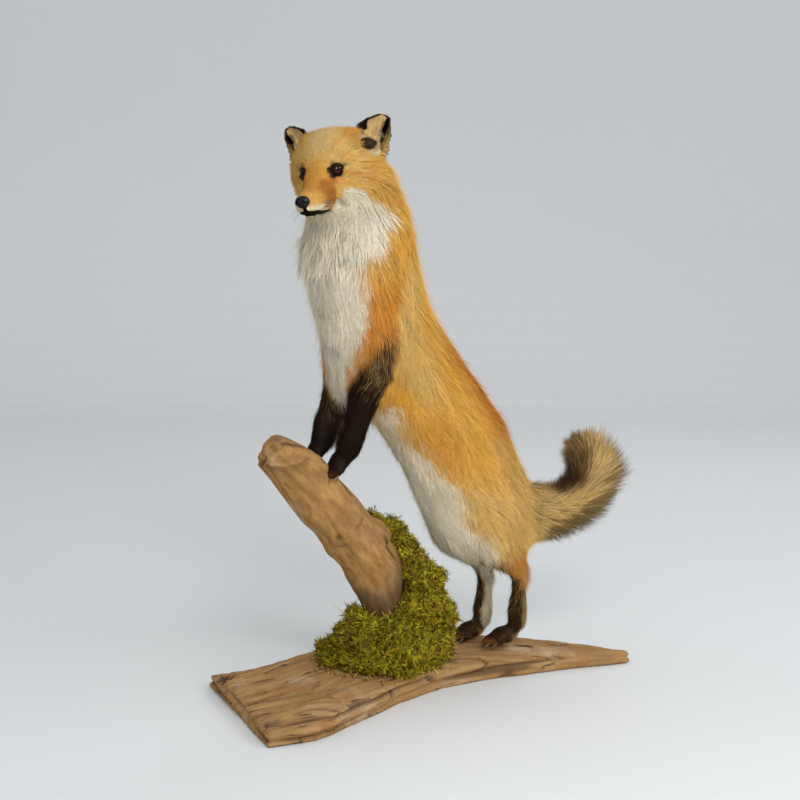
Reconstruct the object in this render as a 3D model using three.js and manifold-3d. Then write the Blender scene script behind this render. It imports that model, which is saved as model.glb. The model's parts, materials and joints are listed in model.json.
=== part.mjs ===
// Red fox, a life-size taxidermy mount: it stands on its hind feet on a driftwood slab, with its
// forepaws on a driftwood branch that rises out of a mound of moss.
// Millimetres, +Z up. The slab's underside is the plane Z = 0, and the origin lies under the branch.
// Every solid reaches out to the tips of the coat. Left and right are the fox's own.
import * as THREE from "three";
import { mergeVertices } from "three/addons/utils/BufferGeometryUtils.js";
import Module from "manifold-3d";

const wasm = await Module();
wasm.setup();

// ---- Driving dimensions -------------------------------------------------------------------

const GAP = 0.3; // clearance between neighbouring solids
const STANDING_TOP = 36; // top of the slab where the hind feet stand
const HIP_BEARING = 33; // the way each part faces, in degrees turned from -X towards -Y
const CHEST_BEARING = 42;
const NECK_BEARING = 50;
const HEAD_BEARING = 69;
const HEAD_CENTRE = [-85, -150, 704]; // middle of the braincase
const HEAD_ROLL = 7; // degrees, right ear lower
const HEAD_NOD = 2; // degrees, nose down
const EYE_RADIUS = 9;
const EYE_SEAT = [39, 19.5, 3]; // ahead of, left of and above the head's centre
const EAR_THICKNESS = 3.4;
const BRANCH_RADIUS = 35;

// ---- Colours ------------------------------------------------------------------------------

const paint = (color, roughness = 0.9) =>
  new THREE.MeshStandardMaterial({ color, roughness, metalness: 0 });
const OCHRE = paint(0xc98d3e);
const CREAM = paint(0xcfc6b0);
const STOCKING = paint(0x2a1c14);
const BUFF = paint(0xa68d5e);
const EAR_BACK = paint(0x33241b);
const NOSE_LEATHER = paint(0x17130f, 0.45);
const EYE_GLASS = paint(0x4a2a10, 0.08);
const DRIFTWOOD = paint(0xa67f4e);
const SLAB_WOOD = paint(0x8f6f4c);
const MOSS = paint(0x5c651a, 1);

// ---- Tools --------------------------------------------------------------------------------

const V = (x, y, z) => new THREE.Vector3(x, y, z);
const leftOf = (bearing) => {
  const turn = THREE.MathUtils.degToRad(bearing);
  return V(Math.sin(turn), -Math.cos(turn), 0);
};
const aheadOf = (bearing) => {
  const turn = THREE.MathUtils.degToRad(bearing);
  return V(-Math.cos(turn), -Math.sin(turn), 0);
};

// A closed geometry as a manifold solid, facing outwards.
function toSolid(geometry) {
  geometry.deleteAttribute("normal");
  geometry.deleteAttribute("uv");
  const merged = mergeVertices(geometry, 1e-3);
  const corners = [];
  const index = merged.index.array;
  for (let i = 0; i < index.length; i += 3) {
    const [a, b, c] = index.slice(i, i + 3);
    if (a !== b && b !== c && c !== a) corners.push(a, b, c);
  }
  const build = (triVerts) =>
    new wasm.Manifold(
      new wasm.Mesh({
        numProp: 3,
        vertProperties: new Float32Array(merged.attributes.position.array),
        triVerts: new Uint32Array(triVerts),
      }),
    );
  const solid = build(corners);
  return solid.volume() > 0 ? solid : build(corners.reverse());
}

// The largest piece that a cut leaves.
const largest = (solid) =>
  solid.decompose().reduce((best, piece) => (piece.volume() > best.volume() ? piece : best));

// A soft swelling, or a hollow where height is negative, on a lofted form.
const swelling = (centre, radius, height) => ({ centre, radius, height });

// A form lofted along a smooth line through its stations. A station is [place, left, radii]: radii are
// sideways, towards travel x left, and the other way. Rounded ends close in a dome; cup hollows the
// third side to a shell of that thickness.
class Loft {
  constructor(stations, options = {}) {
    this.path = new THREE.CatmullRomCurve3(stations.map((s) => s[0]), false, "catmullrom", 0.5);
    this.lefts = new THREE.CatmullRomCurve3(stations.map((s) => s[1]), false, "catmullrom", 0.5);
    this.radii = new THREE.CatmullRomCurve3(
      stations.map((s) => V(...s[2])),
      false,
      "catmullrom",
      0.5,
    );
    Object.assign(
      this,
      { sides: 16, perStation: 2, domeStart: 0, domeEnd: 0, domeRings: 2, swellings: [], cup: 0 },
      options,
    );
    this.spans = stations.length - 1;
  }

  // Shares of the path where the rings lie between start and end, closer together in the domes.
  levels(start, end) {
    const found = [start];
    const steps = this.spans * this.perStation;
    const domes = [];
    for (let i = 1; i <= this.domeRings; i++) {
      const share = 1 - Math.cos((i / this.domeRings) * (Math.PI / 2));
      domes.push(this.domeStart * share, 1 - this.domeEnd * share);
    }
    const evenly = Array.from({ length: steps + 1 }, (_, i) => i / steps).filter(
      (u) => u > this.domeStart + 0.3 / steps && u < 1 - this.domeEnd - 0.3 / steps,
    );
    const inner = [...evenly, ...domes].filter(
      (u) => u > start + 0.25 / steps && u < end - 0.25 / steps && u > 1e-4 && u < 1 - 1e-4,
    );
    found.push(...inner.sort((a, b) => a - b), end);
    return found.filter((u, i) => i === 0 || u - found[i - 1] > 1e-4);
  }

  // How far the rounded ends have closed at share u.
  closing(u) {
    let factor = 1;
    for (const [reach, from] of [
      [this.domeStart, u],
      [this.domeEnd, 1 - u],
    ]) {
      if (reach > 0 && from < reach) factor *= Math.sqrt(Math.max(0, 1 - (1 - from / reach) ** 2));
    }
    return factor;
  }

  // The point at share u and angle turn, with the radius scaled by spread and grown by grow.
  point(u, turn, spread, grow) {
    const centre = this.path.getPoint(u);
    const travel = this.path.getTangent(u);
    const left = this.lefts.getPoint(u);
    left.addScaledVector(travel, -left.dot(travel)).normalize();
    const over = travel.clone().cross(left).normalize();
    const radius = this.radii.getPoint(u);
    const sine = Math.sin(turn);
    let rise = (sine >= 0 ? radius.y : radius.z) * sine;
    if (this.cup && sine < -1e-6) rise = radius.y * -sine - this.cup;
    const closing = this.closing(u);
    const offset = left
      .multiplyScalar(radius.x * Math.cos(turn) * closing)
      .addScaledVector(over, rise * closing);
    const out = offset.clone().normalize();
    const spot = centre.clone().addScaledVector(offset, spread);
    for (const { centre: middle, radius: reach, height } of this.swellings) {
      const share = spot.distanceTo(middle) / reach;
      if (share < 3) spot.addScaledVector(out, height * spread * Math.exp(-share * share));
    }
    const endwise = u <= 0 || u >= 1 ? 1 : Math.sqrt(1 - closing * closing);
    spot.addScaledVector(travel, grow * endwise * (u < 0.5 ? -1 : 1));
    return spot.addScaledVector(out, grow * spread);
  }

  solid({ from = 0, to = 1, grow = 0 } = {}) {
    const levels = this.levels(from, to);
    const rings = levels.length - 1;
    const geometry = new THREE.CylinderGeometry(1, 1, 1, this.sides, rings);
    const places = geometry.attributes.position;
    for (let i = 0; i < places.count; i++) {
      const x = places.getX(i);
      const z = places.getZ(i);
      const level = levels[Math.round((0.5 - places.getY(i)) * rings)];
      const spot = this.point(level, Math.atan2(x, z), Math.hypot(x, z), grow);
      places.setXYZ(i, spot.x, spot.y, spot.z);
    }
    return toSolid(geometry);
  }

  // The stretch between two shares, clear of the next stretch by half the gap.
  stretch(from, to) {
    const half = GAP / 2 / this.path.getLength();
    return this.solid({ from: from > 0 ? from + half : 0, to: to < 1 ? to - half : 1 });
  }

  cutter() {
    return this.solid({ grow: GAP });
  }
}

const carve = (solid, ...cutters) => largest(cutters.reduce((left, c) => left.subtract(c), solid));

const root = new THREE.Group();
root.name = "red_fox_mount";
function add(name, solid, material) {
  const mesh = solid.getMesh();
  const geometry = new THREE.BufferGeometry();
  geometry.setAttribute("position", new THREE.BufferAttribute(mesh.vertProperties, 3));
  geometry.setIndex(new THREE.BufferAttribute(mesh.triVerts, 1));
  geometry.computeVertexNormals();
  const part = new THREE.Mesh(geometry, material);
  part.name = name;
  root.add(part);
}

// ---- Trunk and neck -----------------------------------------------------------------------

const hipLeft = leftOf(HIP_BEARING);
const chestLeft = leftOf(CHEST_BEARING);
const neckLeft = leftOf(NECK_BEARING);
const trunk = new Loft(
  [
    [V(140, 17, 148), hipLeft, [44, 36, 52]],
    [V(128, 6, 213), hipLeft, [57, 72, 98]],
    [V(86, -20, 318), hipLeft, [61, 86, 102]],
    [V(41, -51, 400), leftOf(37), [61, 72, 99]],
    [V(-14, -93, 488), chestLeft, [69, 76, 103]],
    [V(-42, -118, 560), leftOf(45), [76, 78, 103]],
    [V(-50, -127, 626), neckLeft, [74, 79, 93]],
    [V(-60, -141, 679), neckLeft, [62, 66, 70]],
    [V(-70, -150, 712), neckLeft, [48, 46, 46]],
  ],
  {
    sides: 16,
    domeStart: 0.06,
    domeEnd: 0.05,
    swellings: [
      swelling(V(-72, -158, 420), 34, 16), // brisket between the forelegs
      swelling(V(28, -52, 618), 30, 4), // nape
      swelling(V(72, -60, 196), 48, 14), // long hair of the groin
    ],
  },
);
const CROUP = 1.55 / 8; // shares of the trunk's line where it is parted
const RIBS_END = 3.1 / 8;
const COLLAR = 5.45 / 8;

// ---- Head ---------------------------------------------------------------------------------

const headMatrix = new THREE.Matrix4()
  .makeTranslation(...HEAD_CENTRE)
  .multiply(
    new THREE.Matrix4().makeBasis(aheadOf(HEAD_BEARING), leftOf(HEAD_BEARING), V(0, 0, 1)),
  )
  .multiply(new THREE.Matrix4().makeRotationX(THREE.MathUtils.degToRad(HEAD_ROLL)))
  .multiply(new THREE.Matrix4().makeRotationY(THREE.MathUtils.degToRad(HEAD_NOD)));
const onHead = (ahead, left, up) => V(ahead, left, up).applyMatrix4(headMatrix);
const headWay = (ahead, left, up) => V(ahead, left, up).transformDirection(headMatrix);
const headLeft = headWay(0, 1, 0);
const mirrored = (place, side) => onHead(place[0], place[1] * side, place[2]);

const HEAD_SECTIONS = [
  // ahead, middle's height, half width, crown, jaw
  [-62, 0, 50, 42, 46],
  [-34, 0, 65, 54, 56],
  [-4, -3, 61, 61, 54],
  [20, -8, 51, 54, 47],
  [42, -15, 29.5, 35, 41],
  [60, -24, 22.5, 23, 32],
  [82, -31, 18.5, 16, 24],
  [110, -36, 13, 13, 17],
];
const headSwellings = [swelling(onHead(54, 0, 12), 16, -4)]; // the stop
for (const side of [1, -1]) {
  headSwellings.push(
    swelling(mirrored([-12, 58, -30], side), 26, 4), // cheek ruff
    swelling(mirrored([-2, 38, 44], side), 22, 5), // crown beside the ear
    swelling(mirrored([47, 27, 3], side), 13, -6), // eye socket
    swelling(mirrored([34, 24, 20], side), 11, 4), // brow
    swelling(mirrored([50, 24, -22], side), 16, -3), // hollow under the eye
    swelling(mirrored([84, 16, -36], side), 13, 4), // whisker pad
  );
}
const head = new Loft(
  HEAD_SECTIONS.map(([ahead, up, half, crown, jaw]) => [
    onHead(ahead, 0, up),
    headLeft,
    [half, crown, jaw],
  ]),
  {
    sides: 18,
    perStation: 2,
    domeStart: 0.12,
    domeEnd: 0.06,
    swellings: headSwellings,
  },
);
const MUZZLE_ROOT = 4.45 / 7;

const ball = (centre, radii, across = 14, down = 10, grow = 0) => {
  const geometry = new THREE.SphereGeometry(1, across, down);
  geometry.scale(radii[0] + grow, radii[1] + grow, radii[2] + grow);
  const turned = new THREE.Matrix4().extractRotation(headMatrix).setPosition(centre);
  geometry.applyMatrix4(turned);
  return toSolid(geometry);
};
const eyeball = (side, grow = 0) =>
  ball(mirrored(EYE_SEAT, side), [EYE_RADIUS, EYE_RADIUS, EYE_RADIUS], 12, 8, grow);
const nosePad = (grow = 0) => ball(onHead(110, 0, -31), [8, 9.5, 8], 12, 8, grow);

// A half space below the line of the lips, as a big block.
function belowLips(drop) {
  const block = new THREE.BoxGeometry(200, 120, 60);
  block.translate(60, 0, -30);
  block.rotateY(THREE.MathUtils.degToRad(-2));
  block.translate(0, 0, -47.5 - drop);
  return toSolid(block.applyMatrix4(headMatrix));
}

const eyeCutters = [eyeball(1, GAP), eyeball(-1, GAP)];
const skull = carve(head.stretch(0, MUZZLE_ROOT), ...eyeCutters);
const snout = carve(head.stretch(MUZZLE_ROOT, 1), nosePad(GAP), ...eyeCutters);
add("head", skull, OCHRE);
add("muzzle", largest(snout.subtract(belowLips(-GAP / 2))), OCHRE);
add("lower_jaw", largest(snout.intersect(belowLips(GAP / 2))), CREAM);
add("nose", nosePad(), NOSE_LEATHER);
add("eye_left", eyeball(1), EYE_GLASS);
add("eye_right", eyeball(-1), EYE_GLASS);

// An ear is a cupped leaf: it opens ahead and outwards.
function ear(side) {
  const wayAcross = headWay(-0.35, 0.8 * side, -0.48);
  const left = side > 0 ? wayAcross : wayAcross.clone().negate();
  const stations = [
    [mirrored([-10, 44, 18], side), left, [24, 17, 0]],
    [mirrored([-14, 52, 37], side), left, [24.5, 17, 0]],
    [mirrored([-19, 61, 50], side), left, [20, 13, 0]],
    [mirrored([-23, 67, 60], side), left, [13, 8, 0]],
    [mirrored([-25, 69.5, 66], side), left, [5, 3.5, 0]],
  ];
  return new Loft(stations, { sides: 14, cup: EAR_THICKNESS, domeEnd: 0.12 });
}
for (const [name, side] of [
  ["ear_left", 1],
  ["ear_right", -1],
]) {
  add(name, carve(ear(side).solid(), head.cutter()), EAR_BACK);
}

add("neck", carve(trunk.stretch(COLLAR, 1), head.cutter()), CREAM);
add("chest", carve(trunk.stretch(RIBS_END, COLLAR), head.cutter()), OCHRE);
add("loin", trunk.stretch(CROUP, RIBS_END), OCHRE);
add("rump", trunk.stretch(0, CROUP), OCHRE);

// ---- Tail ---------------------------------------------------------------------------------

const tail = new Loft(
  [
    [V(158, 16, 236), hipLeft, [34, 34, 34]],
    [V(194, 19, 223), hipLeft, [48, 48, 48]],
    [V(230, 24, 221), hipLeft, [50, 52, 50]],
    [V(262, 32, 238), hipLeft, [48, 50, 47]],
    [V(276, 46, 268), V(0.4, -0.85, 0.3), [46, 46, 44]],
    [V(274, 74, 293), V(0.2, -0.5, 0.85), [42, 42, 42]],
    [V(264, 110, 299), V(0, 0, 1), [34, 34, 34]],
    [V(254, 142, 290), V(0, 0.2, 1), [16, 16, 16]],
  ],
  { sides: 14, domeStart: 0.06, domeEnd: 0.14 },
);
const trunkCutter = trunk.cutter();
const TAIL_BREAKS = [0, 2.4 / 7, 4.6 / 7, 1];
["tail_base", "tail_middle", "tail_tip"].forEach((name, i) => {
  const piece = tail.stretch(TAIL_BREAKS[i], TAIL_BREAKS[i + 1]);
  add(name, i ? piece : carve(piece, trunkCutter), BUFF);
});

// ---- Driftwood and moss -------------------------------------------------------------------

const frontEdge = new THREE.CatmullRomCurve3([
  V(-163, -338, 0),
  V(-106, -314, 0),
  V(-48, -238, 0),
  V(22, -142, 0),
  V(84, -86, 0),
  V(205, -28, 0),
  V(327, 14, 0),
]);
const rearEdge = new THREE.CatmullRomCurve3([
  V(-262, -92, 0),
  V(-180, -68, 0),
  V(-120, -4, 0),
  V(0, 40, 0),
  V(110, 62, 0),
  V(215, 62, 0),
  V(330, 34, 0),
]);
const SLAB_STEPS = 18;
const SLAB_ROWS = 6;

// Height of the slab's top: even where the feet stand, low at both ends and worn at the long edges.
function slabTop(along, across) {
  const falls = 12 * Math.max(0, 1 - along / 0.2) + 20 * Math.max(0, 1 - (1 - along) / 0.3);
  const worn = 9 * Math.abs(across) ** 4;
  const ridges = 3 * Math.sin(across * 9 + along * 4) * Math.max(0, 1 - along / 0.62);
  return STANDING_TOP - falls - worn + ridges;
}

function slabGeometry(grow = 0) {
  const geometry = new THREE.BoxGeometry(1, 1, 1, SLAB_STEPS, SLAB_ROWS, 1);
  const places = geometry.attributes.position;
  for (let i = 0; i < places.count; i++) {
    const along = places.getX(i) + 0.5;
    const across = places.getY(i) * 2;
    const nibble = 1 + 0.02 * Math.sin(along * 41) + 0.015 * Math.sin(along * 67 + 1);
    const spot = frontEdge
      .getPoint(along)
      .lerp(rearEdge.getPoint(along), 0.5 + (across / 2) * nibble);
    const top = slabTop(along, across) + grow;
    places.setXYZ(i, spot.x, spot.y, places.getZ(i) > 0 ? top : 0);
  }
  return geometry;
}
const slabCutter = toSolid(slabGeometry(GAP));
add("base_slab", toSolid(slabGeometry()), SLAB_WOOD);

const branch = new Loft(
  [
    [V(-178, -197, 356), V(0.4, -0.9, 0), [24, 26, 22]],
    [V(-146, -179, 327), V(0.4, -0.9, 0), [33, 33, 33]],
    [V(-117, -165, 293), V(0.4, -0.9, 0), [BRANCH_RADIUS, 36, 36]],
    [V(-84, -146, 251), V(0.4, -0.9, 0), [37, 38, 37]],
    [V(-60, -128, 214), V(0.4, -0.9, 0), [37, 38, 34]],
    [V(-34, -110, 174), V(0.4, -0.9, 0), [38, 44, 32]],
    [V(-22, -98, 128), V(0.3, -0.9, 0), [33, 36, 24]],
    [V(-20, -90, 80), V(0.2, -1, 0), [29, 30, 24]],
    [V(-22, -88, 26), V(0, -1, 0), [32, 32, 32]],
  ],
  {
    sides: 14,
    domeStart: 0.035,
    swellings: [
      swelling(V(10, -106, 196), 15, 9), // lip of the knot
      swelling(V(-112, -190, 262), 20, 4),
    ],
  },
);
const branchCutter = branch.cutter();
add("branch", carve(branch.solid(), slabCutter), DRIFTWOOD);

const stump = new Loft(
  [
    [V(50, -52, 20), V(0, -1, 0), [24, 24, 22]],
    [V(48, -54, 70), V(0, -1, 0), [21, 21, 20]],
    [V(44, -58, 118), V(0, -1, 0), [19, 20, 19]],
    [V(38, -62, 152), V(0, -1, 0), [15, 17, 15]],
  ],
  { sides: 12, domeEnd: 0.12 },
);
const stumpCutter = stump.cutter();
add("stump", carve(stump.solid(), slabCutter), DRIFTWOOD);

// The moss is a mound round the foot of the branch and a bank up its back.
const mound = new Loft(
  [
    [V(-112, -66, 42), V(0, -1, 0), [34, 22, 20]],
    [V(-70, -78, 48), V(0, -1, 0), [66, 44, 30]],
    [V(-22, -88, 56), V(0, -1, 0), [78, 58, 36]],
    [V(20, -80, 62), V(0, -1, 0), [62, 60, 40]],
    [V(48, -62, 60), V(0, -1, 0), [42, 54, 38]],
    [V(66, -54, 48), V(0, -1, 0), [28, 30, 24]],
  ],
  { sides: 12, domeStart: 0.1, domeEnd: 0.12 },
);
const bank = new Loft(
  [
    [V(-52, -98, 250), V(0.3, -0.95, 0), [10, 9, 9]],
    [V(-28, -92, 222), V(0.3, -0.95, 0), [24, 20, 22]],
    [V(0, -84, 180), V(0.3, -0.95, 0), [34, 26, 34]],
    [V(24, -76, 136), V(0.2, -0.97, 0), [38, 34, 38]],
    [V(32, -74, 100), V(0.1, -1, 0), [40, 30, 36]],
  ],
  { sides: 10, domeStart: 0.12, domeEnd: 0.1 },
);
add("moss_mound", carve(mound.solid(), slabCutter, branchCutter, stumpCutter), MOSS);
add("moss_bank", carve(bank.solid(), branchCutter, stumpCutter, mound.cutter(), slabCutter), MOSS);

// ---- Legs ---------------------------------------------------------------------------------

// A paw points along its bearing and is tipped down by its slope. Its toes end in curved claws.
function paw(centre, bearing, slope, size, grow = 0) {
  const matrix = new THREE.Matrix4()
    .makeTranslation(centre.x, centre.y, centre.z)
    .multiply(new THREE.Matrix4().makeBasis(aheadOf(bearing), leftOf(bearing), V(0, 0, 1)))
    .multiply(new THREE.Matrix4().makeRotationY(THREE.MathUtils.degToRad(slope)));
  const blob = (place, radii, across, down) => {
    const geometry = new THREE.SphereGeometry(1, across, down);
    geometry.scale(...radii.map((r) => r * size + grow));
    geometry.translate(...place.map((p) => p * size));
    return toSolid(geometry.applyMatrix4(matrix));
  };
  let solid = blob([-4, 0, 1], [24, 16.5, 13], 9, 6);
  for (const [ahead, left] of [
    [15, 12],
    [21, 4.4],
    [21, -4.4],
    [15, -12],
  ]) {
    solid = solid.add(blob([ahead, left, -2.5], [12, 5.6, 7.6], 6, 4));
    const claw = new THREE.ConeGeometry(1.9 * size, 10 * size, 4);
    claw.rotateZ(-Math.PI / 2 - 0.5);
    claw.translate((ahead + 13.5) * size, left * 1.05 * size, -6 * size);
    solid = solid.add(toSolid(claw.applyMatrix4(matrix)));
  }
  return solid;
}

function foreleg(name, bearing, joints) {
  const left = leftOf(bearing);
  const [shoulder, elbow, middle, wrist, foot] = joints;
  const upper = new Loft(
    [
      [shoulder, left, [26, 36, 34]],
      [shoulder.clone().lerp(elbow, 0.5), left, [30, 39, 36]],
      [elbow, left, [25, 32, 30]],
      [elbow.clone().lerp(shoulder, -0.25), left, [19, 26, 26]],
    ],
    { sides: 12, domeStart: 0.2, domeEnd: 0.15 },
  );
  const lower = new Loft(
    [
      [elbow.clone().lerp(shoulder, 0.1), left, [21, 25, 27]],
      [elbow.clone().lerp(middle, 0.4), left, [21, 26, 27]],
      [middle, left, [20, 24, 24]],
      [middle.clone().lerp(wrist, 0.6), left, [18, 20, 20]],
      [wrist, left, [17, 18, 17]],
      [wrist.clone().lerp(foot, 0.7), left, [15, 16, 15]],
    ],
    { sides: 12, perStation: 1, domeStart: 0.1, domeEnd: 0.1 },
  );
  const solid = paw(foot, bearing, 34, 1);
  add(`${name}_upper_arm`, carve(upper.solid(), trunkCutter), OCHRE);
  add(`${name}_forearm`, carve(lower.solid(), trunkCutter, upper.cutter(), branchCutter), STOCKING);
  add(`${name}_forepaw`, carve(solid, lower.cutter(), branchCutter), STOCKING);
}

function hindleg(name, bearing, joints) {
  const left = leftOf(bearing);
  const [hip, knee, hock, ankle, foot] = joints;
  const thigh = new Loft(
    [
      [hip, left, [34, 54, 48]],
      [hip.clone().lerp(knee, 0.5), left, [40, 60, 56]],
      [knee, left, [36, 46, 48]],
      [knee.clone().lerp(hip, -0.35), left, [26, 32, 34]],
    ],
    { sides: 12, domeStart: 0.2, domeEnd: 0.2 },
  );
  const shin = new Loft(
    [
      [knee.clone().lerp(hock, 0.12), left, [26, 32, 30]],
      [knee.clone().lerp(hock, 0.55), left, [23, 31, 27]],
      [knee.clone().lerp(hock, 0.9), left, [18, 24, 22]],
      [hock.clone().lerp(ankle, 0.14), left, [16, 18, 19]],
    ],
    { sides: 12, perStation: 1, domeStart: 0.14, domeEnd: 0.2 },
  );
  const pastern = new Loft(
    [
      [hock.clone().lerp(knee, 0.06), left, [15, 16, 18]],
      [hock.clone().lerp(ankle, 0.35), left, [15, 16, 17]],
      [hock.clone().lerp(ankle, 0.75), left, [15, 15.5, 15.5]],
      [ankle, left, [15, 16, 15]],
      [ankle.clone().lerp(foot, 0.5), left, [15, 16, 14]],
    ],
    { sides: 12, perStation: 1, domeStart: 0.12, domeEnd: 0.14 },
  );
  const solid = paw(foot, bearing, 4, 1.05);
  add(`${name}_thigh`, carve(thigh.solid(), trunkCutter, tail.cutter()), OCHRE);
  add(`${name}_shin`, carve(shin.solid(), trunkCutter, thigh.cutter(), tail.cutter()), OCHRE);
  add(`${name}_pastern`, carve(pastern.solid(), thigh.cutter(), shin.cutter()), STOCKING);
  add(`${name}_hindpaw`, carve(solid, pastern.cutter(), slabCutter), STOCKING);
}

foreleg("left", CHEST_BEARING + 6, [
  V(-6, -154, 516),
  V(-24, -174, 448),
  V(-46, -174, 409),
  V(-66, -172, 350),
  V(-78, -172, 331),
]);
foreleg("right", CHEST_BEARING + 6, [
  V(-58, -74, 508),
  V(-80, -92, 446),
  V(-89, -110, 404),
  V(-102, -132, 356),
  V(-108, -139, 342),
]);
hindleg("left", HIP_BEARING + 6, [
  V(130, -34, 262),
  V(108, -50, 208),
  V(173, -12, 150),
  V(166, -10, 72),
  V(145, -20, 52),
]);
hindleg("right", HIP_BEARING + 6, [
  V(104, 36, 256),
  V(78, 14, 202),
  V(126, 36, 140),
  V(119, 30, 66),
  V(100, 18, 49),
]);

export default root;
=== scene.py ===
"""Red fox on a driftwood branch over a mossy slab: hide, coat, eyes, wood and moss over the solids."""

import json
import math
from types import SimpleNamespace

import bmesh
import bpy
import numpy as np
from mathutils import Matrix, Vector
from mathutils.bvhtree import BVHTree

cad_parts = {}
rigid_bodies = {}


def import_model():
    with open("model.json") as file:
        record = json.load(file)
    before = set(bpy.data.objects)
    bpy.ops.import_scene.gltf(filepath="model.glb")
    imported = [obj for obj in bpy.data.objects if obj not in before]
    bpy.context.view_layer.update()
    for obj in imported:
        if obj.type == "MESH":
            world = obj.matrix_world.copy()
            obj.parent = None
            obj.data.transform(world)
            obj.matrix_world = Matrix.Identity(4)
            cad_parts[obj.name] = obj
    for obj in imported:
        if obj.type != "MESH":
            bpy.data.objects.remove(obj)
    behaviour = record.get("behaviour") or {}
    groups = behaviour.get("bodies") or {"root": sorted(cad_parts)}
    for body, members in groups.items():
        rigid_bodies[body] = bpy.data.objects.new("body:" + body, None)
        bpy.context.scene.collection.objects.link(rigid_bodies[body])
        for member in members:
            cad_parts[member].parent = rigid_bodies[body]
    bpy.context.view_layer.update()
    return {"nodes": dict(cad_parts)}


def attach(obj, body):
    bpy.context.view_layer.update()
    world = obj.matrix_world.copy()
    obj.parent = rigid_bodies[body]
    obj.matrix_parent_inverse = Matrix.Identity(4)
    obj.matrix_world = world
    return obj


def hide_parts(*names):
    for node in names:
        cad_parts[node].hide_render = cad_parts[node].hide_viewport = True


bl_info = {
    "name": "Red fox mount",
    "version": (1, 0, 0),
    "blender": (4, 5, 0),
    "location": "View3D > Sidebar > Fox",
    "description": "Dresses a packed fox mount with hide, coat, glass eyes, driftwood and moss",
    "category": "Add Mesh",
}

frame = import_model()
MM = 0.001


def tone(code):
    """A web colour as linear light."""
    shares = [int(code[i : i + 2], 16) / 255 for i in (0, 2, 4)]
    return tuple(c / 12.92 if c <= 0.04045 else ((c + 0.055) / 1.055) ** 2.4 for c in shares)


# ---- Settings ------------------------------------------------------------------------------


def colour(name, description, code):
    return bpy.props.FloatVectorProperty(
        name=name, description=description, default=tone(code), min=0, max=1, size=3, subtype="COLOR"
    )


def number(name, description, default, **limits):
    return bpy.props.FloatProperty(name=name, description=description, default=default, **limits)


def length(name, description, default):
    return number(name, description, default, min=0, unit="LENGTH")


class FoxCoatSettings(bpy.types.PropertyGroup):
    voxel: length("Hide cell", "Cell of the remesh that joins the solids", 0.0017)
    hair: number("Hair length", "Scale of all hair lengths", 1.0, min=0.3, max=2)
    cover: number("Cover", "How many tufts lie over each spot, as a scale", 1.0, min=0.1, max=3)
    ochre: colour("Ochre", "Back, sides and neck", "EAAA42")
    rust: colour("Rust", "Shoulder, spine, cheeks and muzzle sides", "CC7C22")
    gold: colour("Gold", "Forehead and brow", "E4BC6C")
    buff: colour("Buff", "Haunch", "DCB46A")
    brush: colour("Brush", "Tail", "C2A062")
    cream: colour("Cream", "Bib, cheeks and lips", "F8EDD2")
    ash: colour("Ash", "Belly and groin", "DDD0B0")
    umber: colour("Umber", "Brown streaks and rear of the stockings", "56381C")
    sable: colour("Sable", "Stockings, ear backs, lips and rims", "1B1008")
    orange: colour("Orange", "Streak behind the eye", "DA8636")
    skin: colour("Bare skin", "Inner corner of the eyes and hollow of the ears", "3E2A1C")


class FoxEyeSettings(bpy.types.PropertyGroup):
    iris: colour("Iris", "Amber brown ring", "4A1F0C")
    iris_streak: colour("Iris streaks", "Dark streaks of the iris", "2C1006")
    iris_edge: colour("Iris edge", "Dark edge of the iris", "120703")
    around: colour("Around the iris", "Dark glass around the iris", "1E180D")
    pupil: colour("Pupil", "Black of the pupil", "030202")
    pupil_width: length("Pupil width", "Half width of the pupil", 0.0028)
    pupil_height: length("Pupil height", "Half height of the pupil", 0.0034)
    iris_radius: length("Iris radius", "Radius of the iris", 0.0062)
    leather: colour("Nose", "Raised leather of the nose", "141114")
    # Painted shade in the grooves between the nose's raised leather.
    leather_groove_shade: colour("Nose grooves", "Grooves in the leather of the nose", "060506")


class FoxWoodSettings(bpy.types.PropertyGroup):
    branch: colour("Branch", "Smooth worn driftwood", "AE844C")
    branch_dark: colour("Branch grain", "Darker grain and stains of the branch", "765024")
    stump_dark: colour("Stump grain", "Darker grain of the side stump", "5A3A22")
    slab: colour("Slab", "Weathered grey-brown slab", "AA8654")
    # Also the colour of the painted shade and shadow lines on the branch and the slab.
    slab_dark: colour("Slab grain", "Orange-brown grain of the slab", "86562A")
    crack: colour("Cracks", "Depth of the cracks", "2B1C10")


class FoxMossSettings(bpy.types.PropertyGroup):
    green: colour("Green", "Main colour of the moss", "B6A81C")
    young: colour("Young green", "Tips of the sprigs", "DECC30")
    deep: colour("Deep green", "Shade between the sprigs", "665A12")
    bed: colour("Bed", "Brown shade of the bed under the sprigs", "3A2E12")
    dead: colour("Dead moss", "Brown-red specks", "9A5C28")
    sprig: length("Sprig", "Length of a sprig", 0.0072)
    per_cm2: number("Sprigs per square centimetre", "How closely the sprigs stand", 40, min=1)


class FoxStageSettings(bpy.types.PropertyGroup):
    floor: colour("Floor", "Plain pale floor and backdrop", "D8DADA")
    backdrop: colour("Backdrop", "What shows behind the fox above the floor", "C9CCCC")
    key_power: number("Key lamp", "Power of the key lamp", 28, unit="POWER")
    fill_power: number("Fill lamp", "Power of the fill lamp", 19, unit="POWER")
    world: number("World", "Strength of the sky light", 0.68)


# ---- Arithmetic ----------------------------------------------------------------------------


def unit(v):
    return v / np.maximum(np.linalg.norm(v, axis=-1, keepdims=True), 1e-12)


def step(low, high, x):
    """Eases from 0 at low to 1 at high, which may be the smaller one."""
    t = np.clip((x - low) / (high - low), 0, 1)
    return t * t * (3 - 2 * t)


def band(x, start, full, fading, end):
    """1 from full to fading, easing to 0 at start and at end."""
    return step(start, full, x) * step(end, fading, x)


def mix(a, b, share):
    share = np.asarray(share)[..., None]
    return a * (1 - share) + np.asarray(b) * share


def dot(a, b):
    return (a * b).sum(-1)


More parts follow.
